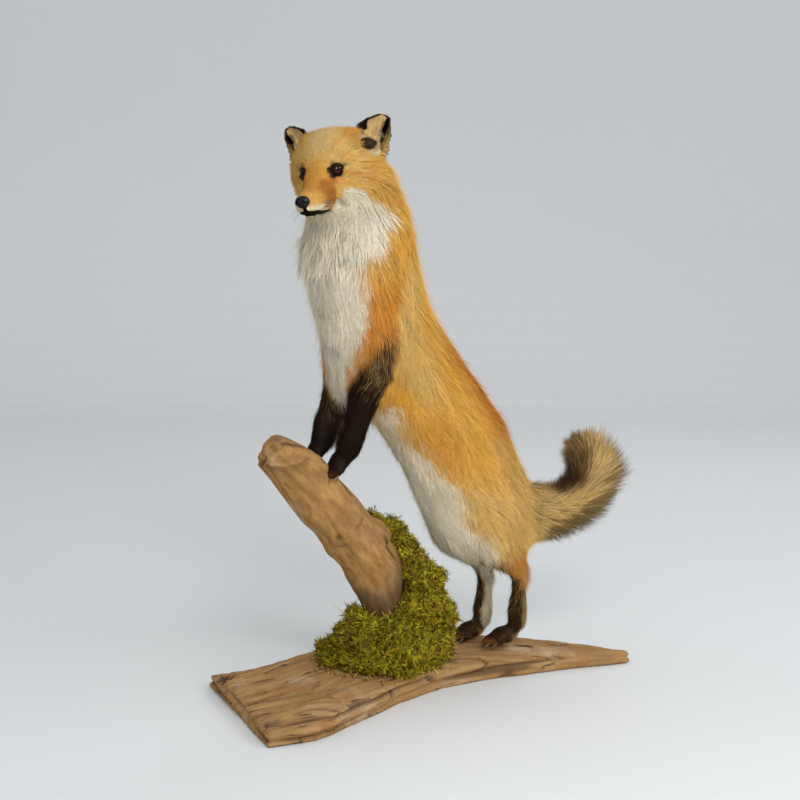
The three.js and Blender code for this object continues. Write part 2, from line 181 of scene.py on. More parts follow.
def size_of(v):
    return np.linalg.norm(v, axis=-1)


def waves(places, wavelength, seed, count=9):
    """A smooth random height with unit spread, the same on every run. wavelength may differ by axis."""
    rng = np.random.default_rng(seed)
    total = np.zeros(len(places))
    for _ in range(count):
        way = unit(rng.normal(size=3)) * 2 * np.pi / (np.asarray(wavelength) * rng.uniform(0.6, 1.5))
        total += np.sin(places @ way + rng.uniform(0, 2 * np.pi))
    return total / math.sqrt(count / 2)


def beside(places, start, end):
    """How far along a stretch each place lies, from 0 to 1, and its offset from there."""
    travel = end - start
    s = np.clip((places - start) @ travel / (travel @ travel), 0, 1)
    return s, places - start - s[:, None] * travel


def ahead_of(bearing):
    turn = math.radians(bearing)
    return np.array([-math.cos(turn), -math.sin(turn), 0.0])


def left_of(bearing):
    turn = math.radians(bearing)
    return np.array([math.sin(turn), -math.cos(turn), 0.0])


def axes_of(bearing):
    return np.array([ahead_of(bearing), left_of(bearing), [0, 0, 1]]).T


def tilted(degrees, axis):
    return np.array(Matrix.Rotation(math.radians(degrees), 3, axis))


# ---- Lie of the fox, in millimetres, with the solids' own named values ----------------------

HIP_BEARING, CHEST_BEARING, HEAD_BEARING = 33, 42, 69
PAW_TURN = 6  # degrees that the paws turn past the hips and the chest
HEAD_CENTRE = np.array([-85.0, -150.0, 704.0])
HEAD_TURN = axes_of(HEAD_BEARING) @ tilted(7, "X") @ tilted(2, "Y")
EYE_RADIUS = 9.0
GAZE = 14  # degrees that both eyes look to the left
NOSE = np.array([110.0, 0.0, -31.0])
MOUTH, MOUTH_REACH, MOUTH_START = np.array([80, 0, -45]), 60, 46
EAR_HOLLOW = np.array([0.0, 54.4, 33.0])
EAR_OUT, EAR_RISE = HEAD_TURN.T @ [1, 0, 0], HEAD_TURN.T @ [0, 0.148, 0.989]
SIDES = (("left", 1), ("right", -1))


def on_head(*place):
    return HEAD_TURN @ np.array(place, float) + HEAD_CENTRE


def in_head(places):
    return (places - HEAD_CENTRE) @ HEAD_TURN


def eye_centre(side):
    return on_head(39, 19.5 * side, 3)


def eye_axes(side):
    """Across from the inner to the outer corner, up, and out, in the row frame."""
    out = unit(np.array([0.80, 0.58 * side, 0.10]))
    across = np.array([-0.52, 0.72 * side, 0.24])
    across = unit(across - out * dot(across, out))
    up = np.cross(out, across) * side
    return [HEAD_TURN @ v for v in (across, up, out)]


class Line:
    """Part of the body along a line: girth, hair length, coat depth, tuft width and cover at each point."""

    def __init__(self, part, points, girth, hair, depth, width, cover, head=False, ways=()):
        self.part = part
        self.points = np.array([on_head(*p) for p in points] if head else points, float)
        self.ways = [*ways, *np.diff(self.points, axis=0)[len(ways) :]]
        self.facts = np.array([girth, hair, depth, width, cover], float).T


SPINE = Line(
    "trunk",
    [(-70, -150, 712), (-60, -141, 679), (-50, -127, 626), (-42, -118, 560), (-14, -93, 488),
     (41, -51, 400), (86, -20, 318), (128, 6, 213), (140, 17, 148)],
    [46, 64, 80, 84, 82, 76, 82, 72, 42],
    [24, 31, 34, 33, 30, 27, 26, 25, 22],
    [8, 11, 13, 12, 10, 9, 8.5, 8.5, 7],
    [0.8, 0.85, 0.9, 0.9, 0.9, 0.9, 0.9, 0.9, 0.9],
    [5.5, 5.8, 6, 6, 6, 5.8, 5.6, 5.4, 5],
)  # fmt: skip
SPINE_BEARINGS = [50, 50, 50, 45, 42, 37, 33, 33, 33]
TAIL = Line(
    "tail",
    [(158, 16, 236), (194, 19, 223), (230, 24, 221), (262, 32, 238), (276, 46, 268), (274, 74, 293),
     (264, 110, 299), (254, 142, 290)],
    [34, 48, 51, 49, 46, 42, 34, 16],
    [25, 29, 31, 31, 32, 32, 26, 13],
    [13, 21, 24, 23, 22, 21, 17, 9],
    [0.8, 0.85, 0.9, 0.9, 0.9, 0.9, 0.9, 0.8],
    [5, 6, 6.5, 6.5, 6.5, 6.5, 6.5, 6],
)  # fmt: skip
SKULL = Line(
    "head",
    [(-62, 0, 0), (-34, 0, 0), (-4, 0, -3), (20, 0, -8), (42, 0, -15), (60, 0, -24), (82, 0, -31),
     (106, 0, -35)],
    [46, 57, 60, 51, 36, 27, 20, 15],
    [22, 17, 12, 9, 6.5, 5.2, 4.2, 3.0],
    [7, 6, 4.2, 3.2, 2.4, 1.9, 1.5, 1.1],
    [1.0, 0.95, 0.85, 0.75, 0.65, 0.6, 0.55, 0.5],
    [4, 4, 4, 3.6, 3.2, 3, 3, 2.6],
    head=True,
)  # fmt: skip


def foreleg(side, shoulder, elbow, middle, wrist, foot):
    toes = tuple(np.array(foot) + 30 * (ahead_of(CHEST_BEARING + PAW_TURN) * 0.83 + np.array([0, 0, -0.56])))
    return Line(
        f"foreleg_{side}", [shoulder, elbow, middle, wrist, foot, toes],
        [34, 31, 25, 19, 16, 10], [25, 19, 15, 11, 7, 4.5], [8, 6, 4.5, 3.4, 2.4, 1.6],
        [0.85, 0.75, 0.65, 0.55, 0.5, 0.5], [5.4, 5.4, 5, 4.6, 3.6, 2.8],
    )  # fmt: skip


def hindleg(side, hip, knee, hock, ankle, foot):
    toes = tuple(np.array(foot) + 32 * ahead_of(HIP_BEARING + PAW_TURN) + np.array([0, 0, -4]))
    return Line(
        f"hindleg_{side}", [hip, knee, hock, ankle, foot, toes],
        [52, 46, 21, 17, 16, 10], [25, 23, 19, 12, 7, 4.5], [8.5, 8, 5, 3.2, 2.4, 1.6],
        [0.9, 0.85, 0.65, 0.55, 0.5, 0.5], [5, 4.8, 4.8, 4.6, 3.6, 2.8],
        ways=[np.subtract(hock, hip)] * 2,
    )  # fmt: skip


HOCK, FOOT = 2, 4  # numbers of points on a leg's line
LEGS = [
    foreleg("left", (-6, -154, 516), (-24, -174, 448), (-46, -174, 409), (-66, -172, 350), (-78, -172, 331)),
    foreleg(
        "right", (-58, -74, 508), (-80, -92, 446), (-89, -110, 404), (-102, -132, 356), (-108, -139, 342)
    ),
    hindleg("left", (130, -34, 262), (108, -50, 208), (173, -12, 150), (166, -10, 72), (145, -20, 52)),
    hindleg("right", (104, 36, 256), (78, 14, 202), (126, 36, 140), (119, 30, 66), (100, 18, 49)),
]
EARS = [
    Line(
        f"ear_{name}",
        [(-9, 43 * side, 14), (-14, 52 * side, 37), (-19, 61 * side, 50), (-24, 68 * side, 63)],
        [13, 22, 18, 8], [12, 6.5, 3.6, 3], [4.5, 1.2, 0.5, 0.5],
        [0.7, 0.58, 0.5, 0.45], [4.4, 4.0, 3.6, 3.0], head=True,
    )
    for name, side in SIDES
]  # fmt: skip
LINES = [SPINE, TAIL, SKULL, *LEGS, *EARS]


class Lie:
    """What the coat does at each place: flow, hair, depth, width, cover, and where it is along each line."""

    def __init__(self, places, normals):
        count = len(places)
        total, flow, sums = np.zeros(count), np.zeros((count, 3)), np.zeros((count, 5))
        self.near, self.along = {}, {}
        from_nose = unit(places - on_head(*NOSE))
        for line in LINES:
            near, along = np.full(count, np.inf), np.zeros(count)
            for i, (start, end) in enumerate(zip(line.points, line.points[1:])):
                s, off = beside(places, start, end)
                facts = line.facts[i] * (1 - s[:, None]) + line.facts[i + 1] * s[:, None]
                ratio = np.maximum(size_of(off) / facts[:, 0], 0.15)
                weight = ratio**-6
                total += weight
                sums += weight[:, None] * facts
                flow += (ratio**-4)[:, None] * (from_nose if line is SKULL else unit(line.ways[i]))
                closer = ratio < near
                near[closer], along[closer] = ratio[closer], (i + s)[closer]
            self.near[line.part], self.along[line.part] = near, along
        _, self.hair, self.depth, self.width, self.cover = (sums / total[:, None]).T
        self.flow = unit(flow)
        self.fluff_cheeks(in_head(places))
        for _, side in SIDES:
            self.part_at_eye(places, side)
            self.part_at_ear(in_head(places) * [1, side, 1] - EAR_HOLLOW, side)
        self.part_at_lips(in_head(places))
        ripple = waves(places, 70, 5)[:, None] * np.cross(normals, self.flow) * 0.16
        flow = self.flow + ripple
        self.flow = unit(flow - normals * dot(flow, normals)[:, None])

    def fluff_cheeks(self, own):
        ahead, left, up = own.T
        cheek = step(26, 44, abs(left)) * step(46, 24, ahead) * step(22, -6, up) * (self.near["head"] < 1.5)
        self.hair += 8 * cheek
        self.depth += 1.5 * cheek

    def part_at_eye(self, places, side):
        """Short hair round the lids, pointing away from the eye."""
        outside, _, _, out = eye_opening(places, side)
        off = places - eye_centre(side)
        near_eye = (out > -2) * step(24, 16, size_of(off))
        short = near_eye * step(9, 2, outside)
        self.hair *= 1 - 0.72 * short - 0.12 * near_eye * step(4, 2, outside)
        self.depth *= 1 - 0.4 * short
        self.width *= 1 - 0.2 * short
        self.flow += (1.2 * near_eye * step(8, 2, outside))[:, None] * unit(off)

    def part_at_ear(self, own, side):
        """Short hair round the ear's hollow, pointing away from it, and along the ear's edge."""
        hollow = own / [15, 12.5, 10.5]
        around = step(2.0, 1.1, size_of(hollow)) * (self.near["head"] < 1.6)
        rise, out = own @ EAR_RISE, own @ EAR_OUT
        fold = step(6, 3, abs(out - ear_fold(rise))) * step(-26, -20, rise)
        edge = np.maximum(fold, step(-2, 3, rise - 22 - ear_slant(out)))
        edge = edge * (abs(own[:, 0]) < 45) * (size_of(own) < 50) * (out > -18)
        self.hair *= (1 - 0.55 * around) * (1 - 0.5 * edge * (1 - around))
        self.flow += (1.5 * around)[:, None] * unit(hollow * [1, side, 1]) @ HEAD_TURN.T

    def part_at_lips(self, own):
        """Short hair at the mouth, parted at its line, and hair that falls from the cheeks."""
        ahead, _, up = own.T
        by_lips = step(16, 6, lips(own)) * (self.near["head"] < 1.7) * step(38, 48, ahead)
        self.hair *= 1 - 0.6 * by_lips
        rising = np.sign(up - lip_height(ahead)) * by_lips
        falling = step(-6, -36, up) * step(2.6, 1.6, self.near["head"]) * step(70, 30, ahead) * (1 - by_lips)
        self.flow += falling[:, None] * np.array([0.15, 0, -1.5]) + rising[:, None] * np.array([0, 0, 0.3])


def spine_place(places):
    """How far down the trunk from the head, and the angle round it from the back, positive to the left."""
    best, down, angle = np.full(len(places), np.inf), np.zeros(len(places)), np.zeros(len(places))
    for i, (start, end) in enumerate(zip(SPINE.points, SPINE.points[1:])):
        s, off = beside(places, start, end)
        bearing = np.radians(SPINE_BEARINGS[i] * (1 - s) + SPINE_BEARINGS[i + 1] * s)
        left = np.stack([np.sin(bearing), -np.cos(bearing), 0 * s], 1)
        back = unit(np.cross(-unit(end - start), left))
        gap = size_of(off)
        closer = gap < best
        best[closer], down[closer] = gap[closer], (i + s)[closer]
        angle[closer] = np.degrees(np.arctan2(dot(off, left), dot(off, back)))[closer]
    return down, angle


# ---- Face ----------------------------------------------------------------------------------


def eye_opening(places, side):
    """Distance outside the lids' edge, negative inside, and places in the eye's own axes."""
    x, y, z = ((places - eye_centre(side)) @ axis for axis in eye_axes(side))
    reach = np.where(x < 0, 10.4, 9.6)
    share = np.clip(abs(x) / reach, 0, 1)
    lid = np.where(y > 0, 5.8 * (1 - share**2.3) ** 0.85, 5.0 * (1 - share**2.0) ** 0.8)
    outside = np.where(abs(x) < reach, abs(y) - lid, np.hypot(abs(x) - reach, y))
    return outside, x, y, z


def tear_gap(x, y):
    """Distance from the inner corner of the eye, in the eye's own axes."""
    return np.hypot(x + 9.8, (y + 2.0) / 1.3) / 1.3


def lip_height(ahead):
    return np.interp(ahead, [46, 54, 70, 87, 98, 108], [-50.0, -50.0, -50.2, -49.2, -47.0, -44.5])


def lip_reach(ahead):
    """Half the height of the dark lip."""
    return np.interp(ahead, [50, 55, 62, 90, 102], [0.8, 2.4, 3.9, 4.1, 3.0])


def lips(own):
    """Distance from the line of the mouth and from the cleft under the nose, large away from them."""
    ahead, left, up = own.T
    height = lip_height(ahead)
    cleft = np.where((ahead > 98) & (up > height - 1) & (up < -33), abs(left), 99)
    return np.minimum(np.hypot(abs(up - height), np.maximum(0, 54 - ahead)), cleft)


def by_mouth(own):
    return (own[:, 0] > MOUTH_START) & (size_of(own - MOUTH) < MOUTH_REACH)


def ear_fold(rise):
    """How far out the fold along the ear's outer edge lies."""
    return np.interp(rise, [-21, -7, 8, 28], [17, 20.5, 26.5, 29.5])


def ear_slant(out):
    """How much higher the ear's upper edge is, so far out."""
    return (out + 13.5) * 0.454


def brush_rim(places, normals):
    """How far a spot of the brush faces away from the hollow of its curve."""
    return dot(normals, unit(places - np.array([212, 70, 306])))


# ---- Markings ------------------------------------------------------------------------------

COAT_TONES = ("ochre", "rust", "gold", "buff", "brush", "cream", "ash", "umber", "sable", "orange", "skin")

# Edges between markings: places down the trunk, and degrees round it from the back.
BLADE_EDGE = ([2.6, 3.12, 3.51, 3.92, 4.3], [88, 106, 119, 126, 132])
BIB_EDGE = (
    [0.6, 1.2, 1.9, 2.15, 2.4, 3.0, 3.2, 3.46, 4.1, 4.5],
    [112, 97, 117, 139, 132, 138, 147, 158, 168, 172],
)
BELLY_EDGE = ([4.4, 4.9, 5.4, 6.2, 6.7, 7.5], [174, 168, 153, 141, 131, 120])
ELBOW_EDGE = ([3.6, 3.81, 3.99, 4.04, 4.19, 4.41, 4.5, 4.6], [118, 124, 129, 136, 146, 158, 160, 0])
# The white cheek's upper edge on the head: millimetres to the side, and up.
CHEEK_EDGE = ([12, 18, 29, 45, 62, 76], [-47, -41, -21, -21, -32, -47])
# Painted shade: shares that darken all of the face's colours against the body's.
FACE_SHADE = [0.80, 0.79, 0.75]
# Painted shade: shares that darken the bare skin deep in the ears' hollows.
HOLLOW_SHADE = [0.26, 0.14, 0.05]


class Markings:
    """The coat at each place: colour, shares of black-tipped and pale-flecked hair, and what is bare."""

    def __init__(self, places, normals, lie, coat):
        self.places, self.normals, self.near, self.along = places, normals, lie.near, lie.along
        self.tones = SimpleNamespace(**{key: np.array(getattr(coat, key)) for key in COAT_TONES})
        self.broad, self.fine = waves(places, 60, 11), waves(places, 14, 12)
        self.down, self.angle = spine_place(places)
        self.turn = abs(self.angle)
        self.own = in_head(places)
        self.bare, self.grizzle = np.zeros(len(places)), np.zeros(len(places))
        self.paint_trunk()
        self.paint_brush()
        for line in LEGS:
            self.paint_leg(line)
        self.paint_face()
        self.paint_eyes_and_lips()
        for line, (_, side) in zip(EARS, SIDES):
            self.paint_ear(line, side)
        for key in ("hue", "tipped", "grizzle"):
            setattr(self, key, np.clip(getattr(self, key), 0, 1))

    def paint(self, colour, share):
        self.hue = mix(self.hue, colour, share)

    def paint_trunk(self):
        c, fine, broad, down, turn = self.tones, self.fine, self.broad, self.down, self.turn
        self.hue = mix(c.ochre, c.buff, 0.12 + 0.08 * broad)
        self.paint(mix(c.rust, c.umber, 0.14), 0.92 * step(80, 30, turn) * band(down, 3.7, 4.8, 5.9, 6.6))
        self.paint(c.rust, 0.22 * step(60, 20, turn) * step(3.0, 3.6, down))
        edge = np.interp(down, *BLADE_EDGE) + 2.5 * fine
        pale = step(edge + 2, edge - 5, turn) * step(edge - 56, edge - 30, turn)
        self.paint(c.gold, 0.75 * pale * band(down, 2.0, 2.9, 4.2, 5.2))
        self.paint(c.rust, 0.85 * band(down, 2.2, 3.2, 3.82, 4.02) * step(edge - 3, edge + 3, turn))
        self.paint(c.buff, 0.75 * step(5.6, 6.7, down + 0.12 * broad))
        self.paint(c.rust, 0.30 * band(down, 4.5, 5.0, 5.4, 6.3) * step(96, 124, turn))

        rough = turn + 3.5 * fine + 2 * broad
        bib = step(-7, 7, rough - np.interp(down, *BIB_EDGE)) * step(4.7, 4.2, down)
        belly = step(-9, 9, rough - np.interp(down, *BELLY_EDGE)) * step(4.2, 4.7, down)
        self.paint(mix(c.cream, c.ash, 0.15 + 0.12 * broad), bib)
        self.paint(mix(c.cream, c.ash, 0.55 + 0.2 * broad), belly)
        flank = np.stack([np.radians(self.angle) * 70, down * 72, 0 * down], 1)
        locks = waves(flank, (9, 70, 9), 14) + 0.6 * waves(flank, (24, 130, 24), 15)
        self.hue = self.hue * (1 + 0.05 * locks)[:, None]
        wisp = step(4.30, 4.5, down + 0.05 * fine) * step(4.8, 4.62, down) * (self.angle > 0)
        self.paint(c.cream, 0.7 * wisp * step(148, 158, turn + 4 * fine) * step(173, 167, turn))
        # Painted shade in a dark gap at the top of the bib.
        bib_gap_shade = step(150, 164, turn) * band(down, 2.9, 3.2, 3.4, 3.8) * step(-0.2, 0.9, fine)
        self.paint(c.umber, 0.45 * bib_gap_shade)
        self.tipped = 0.01 + 0.10 * step(60, 20, turn) * step(3.6, 5.5, down)
        self.tipped *= 1 - np.maximum(bib, belly)
        self.tipped += 0.05 * step(138, 150, turn) * band(down, 0.5, 0.9, 1.9, 2.6)

    def paint_brush(self):
        c, fine, broad, along = self.tones, self.fine, self.broad, self.along["tail"]
        brush = step(0.05, 0.8, along) * (self.near["tail"] < np.minimum(self.near["trunk"], 3))
        rim = brush_rim(self.places, self.normals)
        inner = step(0.2, 0.8, dot(self.normals, unit(np.array([-0.62, 0.1, 0.78]))))
        inner = inner * band(along, 0.9, 1.8, 4.0, 5.5)
        brown = 0.15 + 0.16 * broad + 0.65 * inner - 0.3 * rim + 0.14 * step(1.6, 0.4, along)
        hair = mix(c.brush, c.buff, np.clip(0.25 + 0.3 * fine, 0, 1))
        hair = mix(hair, c.umber, np.clip(brown, 0, 1))
        # Painted light: hair facing away from the curl's hollow is made up to 12% lighter against the shade
        # on the brush's underside.
        self.paint(hair * (1 + 0.12 * step(0.25, 0.8, rim))[:, None], brush)
        black = np.clip(0.2 + 0.5 * inner + 0.95 * step(0.70, 0.92, rim), 0, 1)
        self.tipped = self.tipped * (1 - brush) + brush * black

    def paint_leg(self, line):
        c, fine, along, near = self.tones, self.fine, self.along[line.part], self.near[line.part]
        fore, is_left = line in LEGS[:2], line.part.endswith("left")
        bearing = (CHEST_BEARING if fore else HIP_BEARING) + PAW_TURN
        front = dot(self.normals, ahead_of(bearing))
        outward = dot(self.normals, left_of(bearing)) * (1 if is_left else -1)
        m = along + 0.05 * self.broad + 0.08 * fine
        wide = 1.5 * step(3.3, 4.1, along) + 0.4 * step(1.8, 2.8, along)
        lead = np.minimum(self.near["trunk"], self.near["tail"]) - near + 0.12
        mine = step(1.25 + wide, 0.95 + wide, near) * step(-0.02, 0.06, lead)
        if fore and is_left:
            limit = np.interp(self.down, *ELBOW_EDGE)
            below = step(limit - 3, limit + 2, self.turn + 1.5 * fine)
            mine = mine * np.maximum(below, step(1.7, 2.3, along))
        dark = (self.paint_foreleg if fore else self.paint_hindleg)(mine, m, front, outward, is_left)
        toes = step(4.55, 4.95, along)
        self.paint(mix(c.umber, c.rust, 0.15 if fore else 0.3), mine * toes * (0.4 if fore else 0.75))
        self.paint(c.buff, mine * toes * (0.06 if fore else 0.2) * step(0.0, 0.8, fine))
        self.tipped *= 1 - mine * dark * 0.8

    def paint_foreleg(self, mine, m, front, outward, is_left):
        """A black stocking, browner behind and greyed on the outside below its upper end."""
        c = self.tones
        late = 0.50 - 0.22 * outward + (0 if is_left else 0.45)
        dark = step(late - 0.10, late + 0.30, m)
        brown = 0.65 * step(0.1, -0.7, front) * step(2.9, 1.3, m) + 0.40 * step(late + 0.9, late + 0.3, m)
        brown = 0.05 + np.clip(brown, 0, 1) + (0 if is_left else 0.2) * step(3.0, 2.0, m)
        tint = mix(c.sable, c.umber, np.clip(brown, 0, 1))
        tint = mix(tint, c.rust, 0.22 * step(-0.2, -0.8, front) * step(3.0, 3.7, m))
        pale = 0.42 * step(late + 1.6, late + 0.5, m) * (step(0, 0.6, outward) if is_left else 0.5)
        self.grizzle = np.maximum(self.grizzle, mine * pale)
        self.tipped = self.tipped + mine * 0.35 * step(late - 0.45, late, m) * step(late + 0.3, late, m)
        self.paint(tint, mine * dark)
        return dark

    def paint_hindleg(self, mine, m, front, outward, _is_left):
        """Rust outside, pale inside, with a dark front that widens below the hock."""
        c, fine = self.tones, self.fine
        self.paint(c.buff, mine * step(1.3, 1.6, m))
        shin = band(m, 1.35, 1.75, 2.15, 2.5) * step(-0.5, 0.2, outward)
        self.paint(mix(c.rust, c.umber, 0.18), mine * 0.9 * shin)
        pale = step(0.25, -0.2, outward) * step(0.85, 0.5, front) * step(3.3, 2.9, m)
        self.paint(mix(c.ash, c.umber, 0.16 + 0.12 * fine), mine * pale * step(1.2, 1.6, m))
        stripe = step(0.2, 0.55, front) * step(1.25, 1.5, m)
        dark = np.maximum(step(2.05, 2.4, m + 0.25 * front), stripe) * (1 - pale)
        tint = mix(c.sable, c.umber, 0.25 + 0.35 * step(0.3, -0.4, front))
        heel = step(0.1, -0.35, front) * band(m, 2.2, 2.6, 3.5, 3.9)
        tint = mix(tint, mix(c.brush, c.umber, 0.25), 0.85 * heel)
        self.grizzle = np.maximum(self.grizzle, mine * (0.05 + 0.22 * step(3.0, 2.3, m)))
        self.paint(tint, mine * dark)
        return dark

    def paint_face(self):
        c, fine = self.tones, self.fine
        ahead, left, up = self.own.T
        side, lip_gap = abs(left), up - lip_height(ahead)

        def spot(place, radii):
            return size_of((np.stack([ahead, side, up], 1) - place) / radii)

        body, self.hue = self.hue, mix(c.ochre, c.gold, np.clip(0.7 + 0.2 * fine, 0, 1))
        self.paint(c.cream, 0.22 * step(22, 8, side) * band(ahead, 0, 22, 40, 62) * step(10, 26, up))
        self.paint(c.ochre, 0.85 * band(side, 18, 27, 36, 46) * step(24, 36, up) * step(24, 8, ahead))
        self.paint(c.ochre, 0.75 * step(44, 56, side) * step(22, 8, up))
        self.paint(c.ochre, 0.75 * step(46, 62, ahead))
        flank = step(4, 13, side) * step(46, 58, ahead + 2 * fine) * step(94, 76, ahead)
        flank *= step(4, -12, up) * step(2, 8, lip_gap + fine)
        self.paint(c.rust, np.clip(0.95 * flank * (0.9 + 0.15 * fine), 0, 1))
        self.paint(c.umber, flank * (0.16 + 0.16 * step(-10, -24, up)))
        self.paint(c.umber, 0.5 * step(1.2, 0.3, spot([82, 18, -37], [11, 8, 9])))
        tuft = spot([0, 32, 50], [16, 10, 12])
        self.paint(mix(c.ochre, c.rust, 0.45), 0.8 * step(1.25, 0.6, tuft + 0.1 * fine))
        self.paint(c.rust, 0.35 * step(12, 4, side) * band(ahead, 56, 66, 90, 104) * step(-22, -14, up))
        for _, s in SIDES:
            t, off = beside(self.places, on_head(40, 29 * s, -2), on_head(20, 50 * s, -9))
            self.paint(c.orange, 0.6 * step(6.5, 1.5, size_of(off) + fine) * (1 - 0.5 * t))
            for place, wide, tight in (((46, 22 * s, -9), 10, 4), ((56, 11 * s, 2), 9, 3)):
                self.paint(c.orange, 0.4 * step(wide, tight, size_of(self.places - on_head(*place))))
        white = step(-2.5, 2.5, np.interp(side, *CHEEK_EDGE) - up + 1.5 * fine) * step(56, 50, ahead)
        pads = 0.9 * step(-33, -40, up) * step(80, 92, ahead)
        above = 0.85 * step(9, 4, lip_gap) * band(ahead, 62, 72, 96, 104)
        jaw = step(0, -2, lip_gap) * step(20, 50, ahead)
        self.paint(c.cream, np.maximum.reduce([white, pads, above, jaw]))
        self.paint(mix(c.buff, c.umber, 0.55), 0.6 * band(-lip_gap, 3, 5, 10, 15) * step(64, 74, ahead))
        self.paint(c.buff, 0.3 * step(94, 101, ahead) * step(-16, -22, up))
        # Painted shade of the fold that runs up the cheek from the corner of the mouth.
        self.paint(c.umber, 0.5 * step(1.1, 0.3, spot([46, 24, -36], [7, 9, 9])))
        self.paint(c.rust, 0.45 * step(20, 30, side) * step(34, 22, ahead) * step(20, 32, up) * (tuft > 1))
        on_face = step(1.45, 1.25, self.near["head"]) * step(-52, -40, ahead)
        # The face's colours, darkened by FACE_SHADE as painted shade, laid over the body's.
        self.hue = mix(body, self.hue * FACE_SHADE, on_face)

        throat = step(-55, -66, up) * step(10, 30, ahead) * step(34, 24, side) * (self.near["head"] < 1.9)
        streaks = step(-58, -70, up) * step(-112, -96, up) * band(left, 14, 22, 38, 50) * step(-20, 10, ahead)
        streaks = streaks * (self.near["head"] < 2.6) * step(-0.3, 0.8, fine)
        self.tipped = self.tipped * (1 - on_face) + 0.12 * throat + 0.35 * streaks

    def paint_eyes_and_lips(self):
        c, fine = self.tones, self.fine
        for _, s in SIDES:
            outside, x, y, z = eye_opening(self.places, s)
            close = (z > -2) * step(26, 20, size_of(self.places - eye_centre(s)))
            tear, corner = tear_gap(x, y), np.hypot((x - 12.5) / 2.2, y - 0.6)
            self.paint(c.umber, 0.55 * step(6.5, 2.5, outside + 1.2 * fine - 0.6 * (y > 0)) * close)
            lids = np.maximum(step(2.9, 1.4, outside + 0.4 * fine), 0.6 * step(1.5, 0.6, corner))
            self.paint(c.sable, np.maximum(lids, step(5.8, 4.6, tear)) * close)
            self.paint(c.skin * 0.6, 0.7 * step(4.8, 3.0, tear) * close)
            glass = np.maximum(step(1.9, 1.2, outside), step(5.0, 4.2, tear))
            self.bare = np.maximum(self.bare, glass * close)
        ahead = self.own[:, 0]
        gap, reach, on_mouth = lips(self.own), lip_reach(ahead), (self.near["head"] < 1.6) * (ahead > 49)
        self.paint(c.sable * 0.7, step(reach + 0.5, reach - 0.4, gap) * on_mouth)
        self.bare = np.maximum(self.bare, step(reach + 0.3, reach - 0.5, gap) * on_mouth)

    def paint_ear(self, line, s):
        c, fine = self.tones, self.fine
        ahead, _, up = self.own.T
        mine = step(-0.05, 0.1, self.near["head"] - self.near[line.part]) * step(10, 20, up)
        mine = mine * step(0.02, 0.25, self.along[line.part])
        own = self.own * [1, s, 1] - EAR_HOLLOW
        rise, out = own @ EAR_RISE, own @ EAR_OUT
        fold, top = ear_fold(rise), 25.0 + ear_slant(out) - rise

        def faces(*way):
            return dot(self.normals, HEAD_TURN @ unit(np.array(way)))

        # Inside: buff fur in strokes, paler low down, with a brown curl near the tip.
        cup = step(-0.25, 0.05, dot(self.normals, unit(on_head(10, 78 * s, 38) - self.places)))
        inside = np.maximum(cup, step(0.0, 0.25, faces(0.95, 0.3 * s, 0.1)))
        strokes = waves(np.stack([out, 0.25 * rise, 0 * out], 1), 3.2, 16)
        tint = mix(c.buff, c.umber, np.clip(0.34 + 0.10 * fine + 0.12 * strokes, 0, 1))
        tint = mix(tint, c.ash, 0.15)
        tint = mix(tint, c.ash, 0.6 * step(9, 12, out) * step(fold, fold - 4, out) * step(16, 8, rise))
        tint = mix(tint, c.cream, 0.45 * step(-8, -14, rise) * step(fold - 1, fold - 5, out))
        curl = np.hypot((out - 18.3) / 4.5, (rise - 23.5) / 5.5)
        tint = mix(tint, c.umber, 0.65 * step(1.2, 0.6, curl))
        tint = mix(tint, mix(c.buff, c.umber, 0.5), step(fold - 0.5, fold + 1.5, out))

        # Behind: black, with a buff edge. A dark seam runs along the fold and the top.
        behind = step(0.08, -0.2, faces(0.55, 0.8 * s, 0.1))
        edge = np.maximum(step(fold - 8, fold - 4, out), step(5.5, 3, top) * step(-2, 6, out))
        black = behind * step(-6, 3, rise + 1.5 * fine) * (1 - edge)
        ear = mix(mix(mix(c.buff, c.umber, 0.5), c.sable, black), tint, inside)
        seam = step(2.2, 1.0, abs(out - fold + 0.4)) * step(-24, -18, rise)
        ear = mix(ear, mix(c.sable, c.umber, 0.25), 0.9 * seam * (1 - behind))
        ear = mix(ear, c.sable, 0.9 * step(2.2, 0.8, top) * step(-5, 5, rise))
        self.paint(ear, mine)

        hollow = np.hypot((out - 0.5) / 10.0, rise / 9.0)
        hollow = np.where((abs(ahead + 12) < 32) & (inside > 0.5), hollow, 9)
        # Painted shade: the bare skin in the ear's hollow, darkened by HOLLOW_SHADE.
        self.paint(c.skin * HOLLOW_SHADE, 0.97 * step(1.12, 0.80, hollow + 0.05 * fine))
        self.bare = np.maximum(self.bare, step(1.08, 0.92, hollow))
        self.tipped *= 1 - mine
        self.grizzle *= 1 - mine


# ---- Meshes --------------------------------------------------------------------------------


def arrays(mesh):
    """Places in millimetres and corner numbers of a mesh's triangles."""
    places = np.empty(len(mesh.vertices) * 3)
    mesh.vertices.foreach_get("co", places)
    mesh.calc_loop_triangles()
    corners = np.empty(len(mesh.loop_triangles) * 3, np.int64)
    mesh.loop_triangles.foreach_get("vertices", corners)
    return places.reshape(-1, 3) / MM, corners.reshape(-1, 3)


def put(mesh, places):
    mesh.vertices.foreach_set("co", np.ascontiguousarray(places * MM, np.float32).ravel())
    mesh.update()


def made(bm, name):
    """A new mesh of what the bmesh holds. The bmesh is freed."""
    mesh = bpy.data.meshes.new(name)
    bm.to_mesh(mesh)
    bm.free()
    return mesh


def ball(name, radius):
    """A fine sphere's mesh, and its vertices' places."""
    bm = bmesh.new()
    bmesh.ops.create_icosphere(bm, subdivisions=5, radius=radius)
    mesh = made(bm, name)
    return mesh, np.array([v.co for v in mesh.vertices])


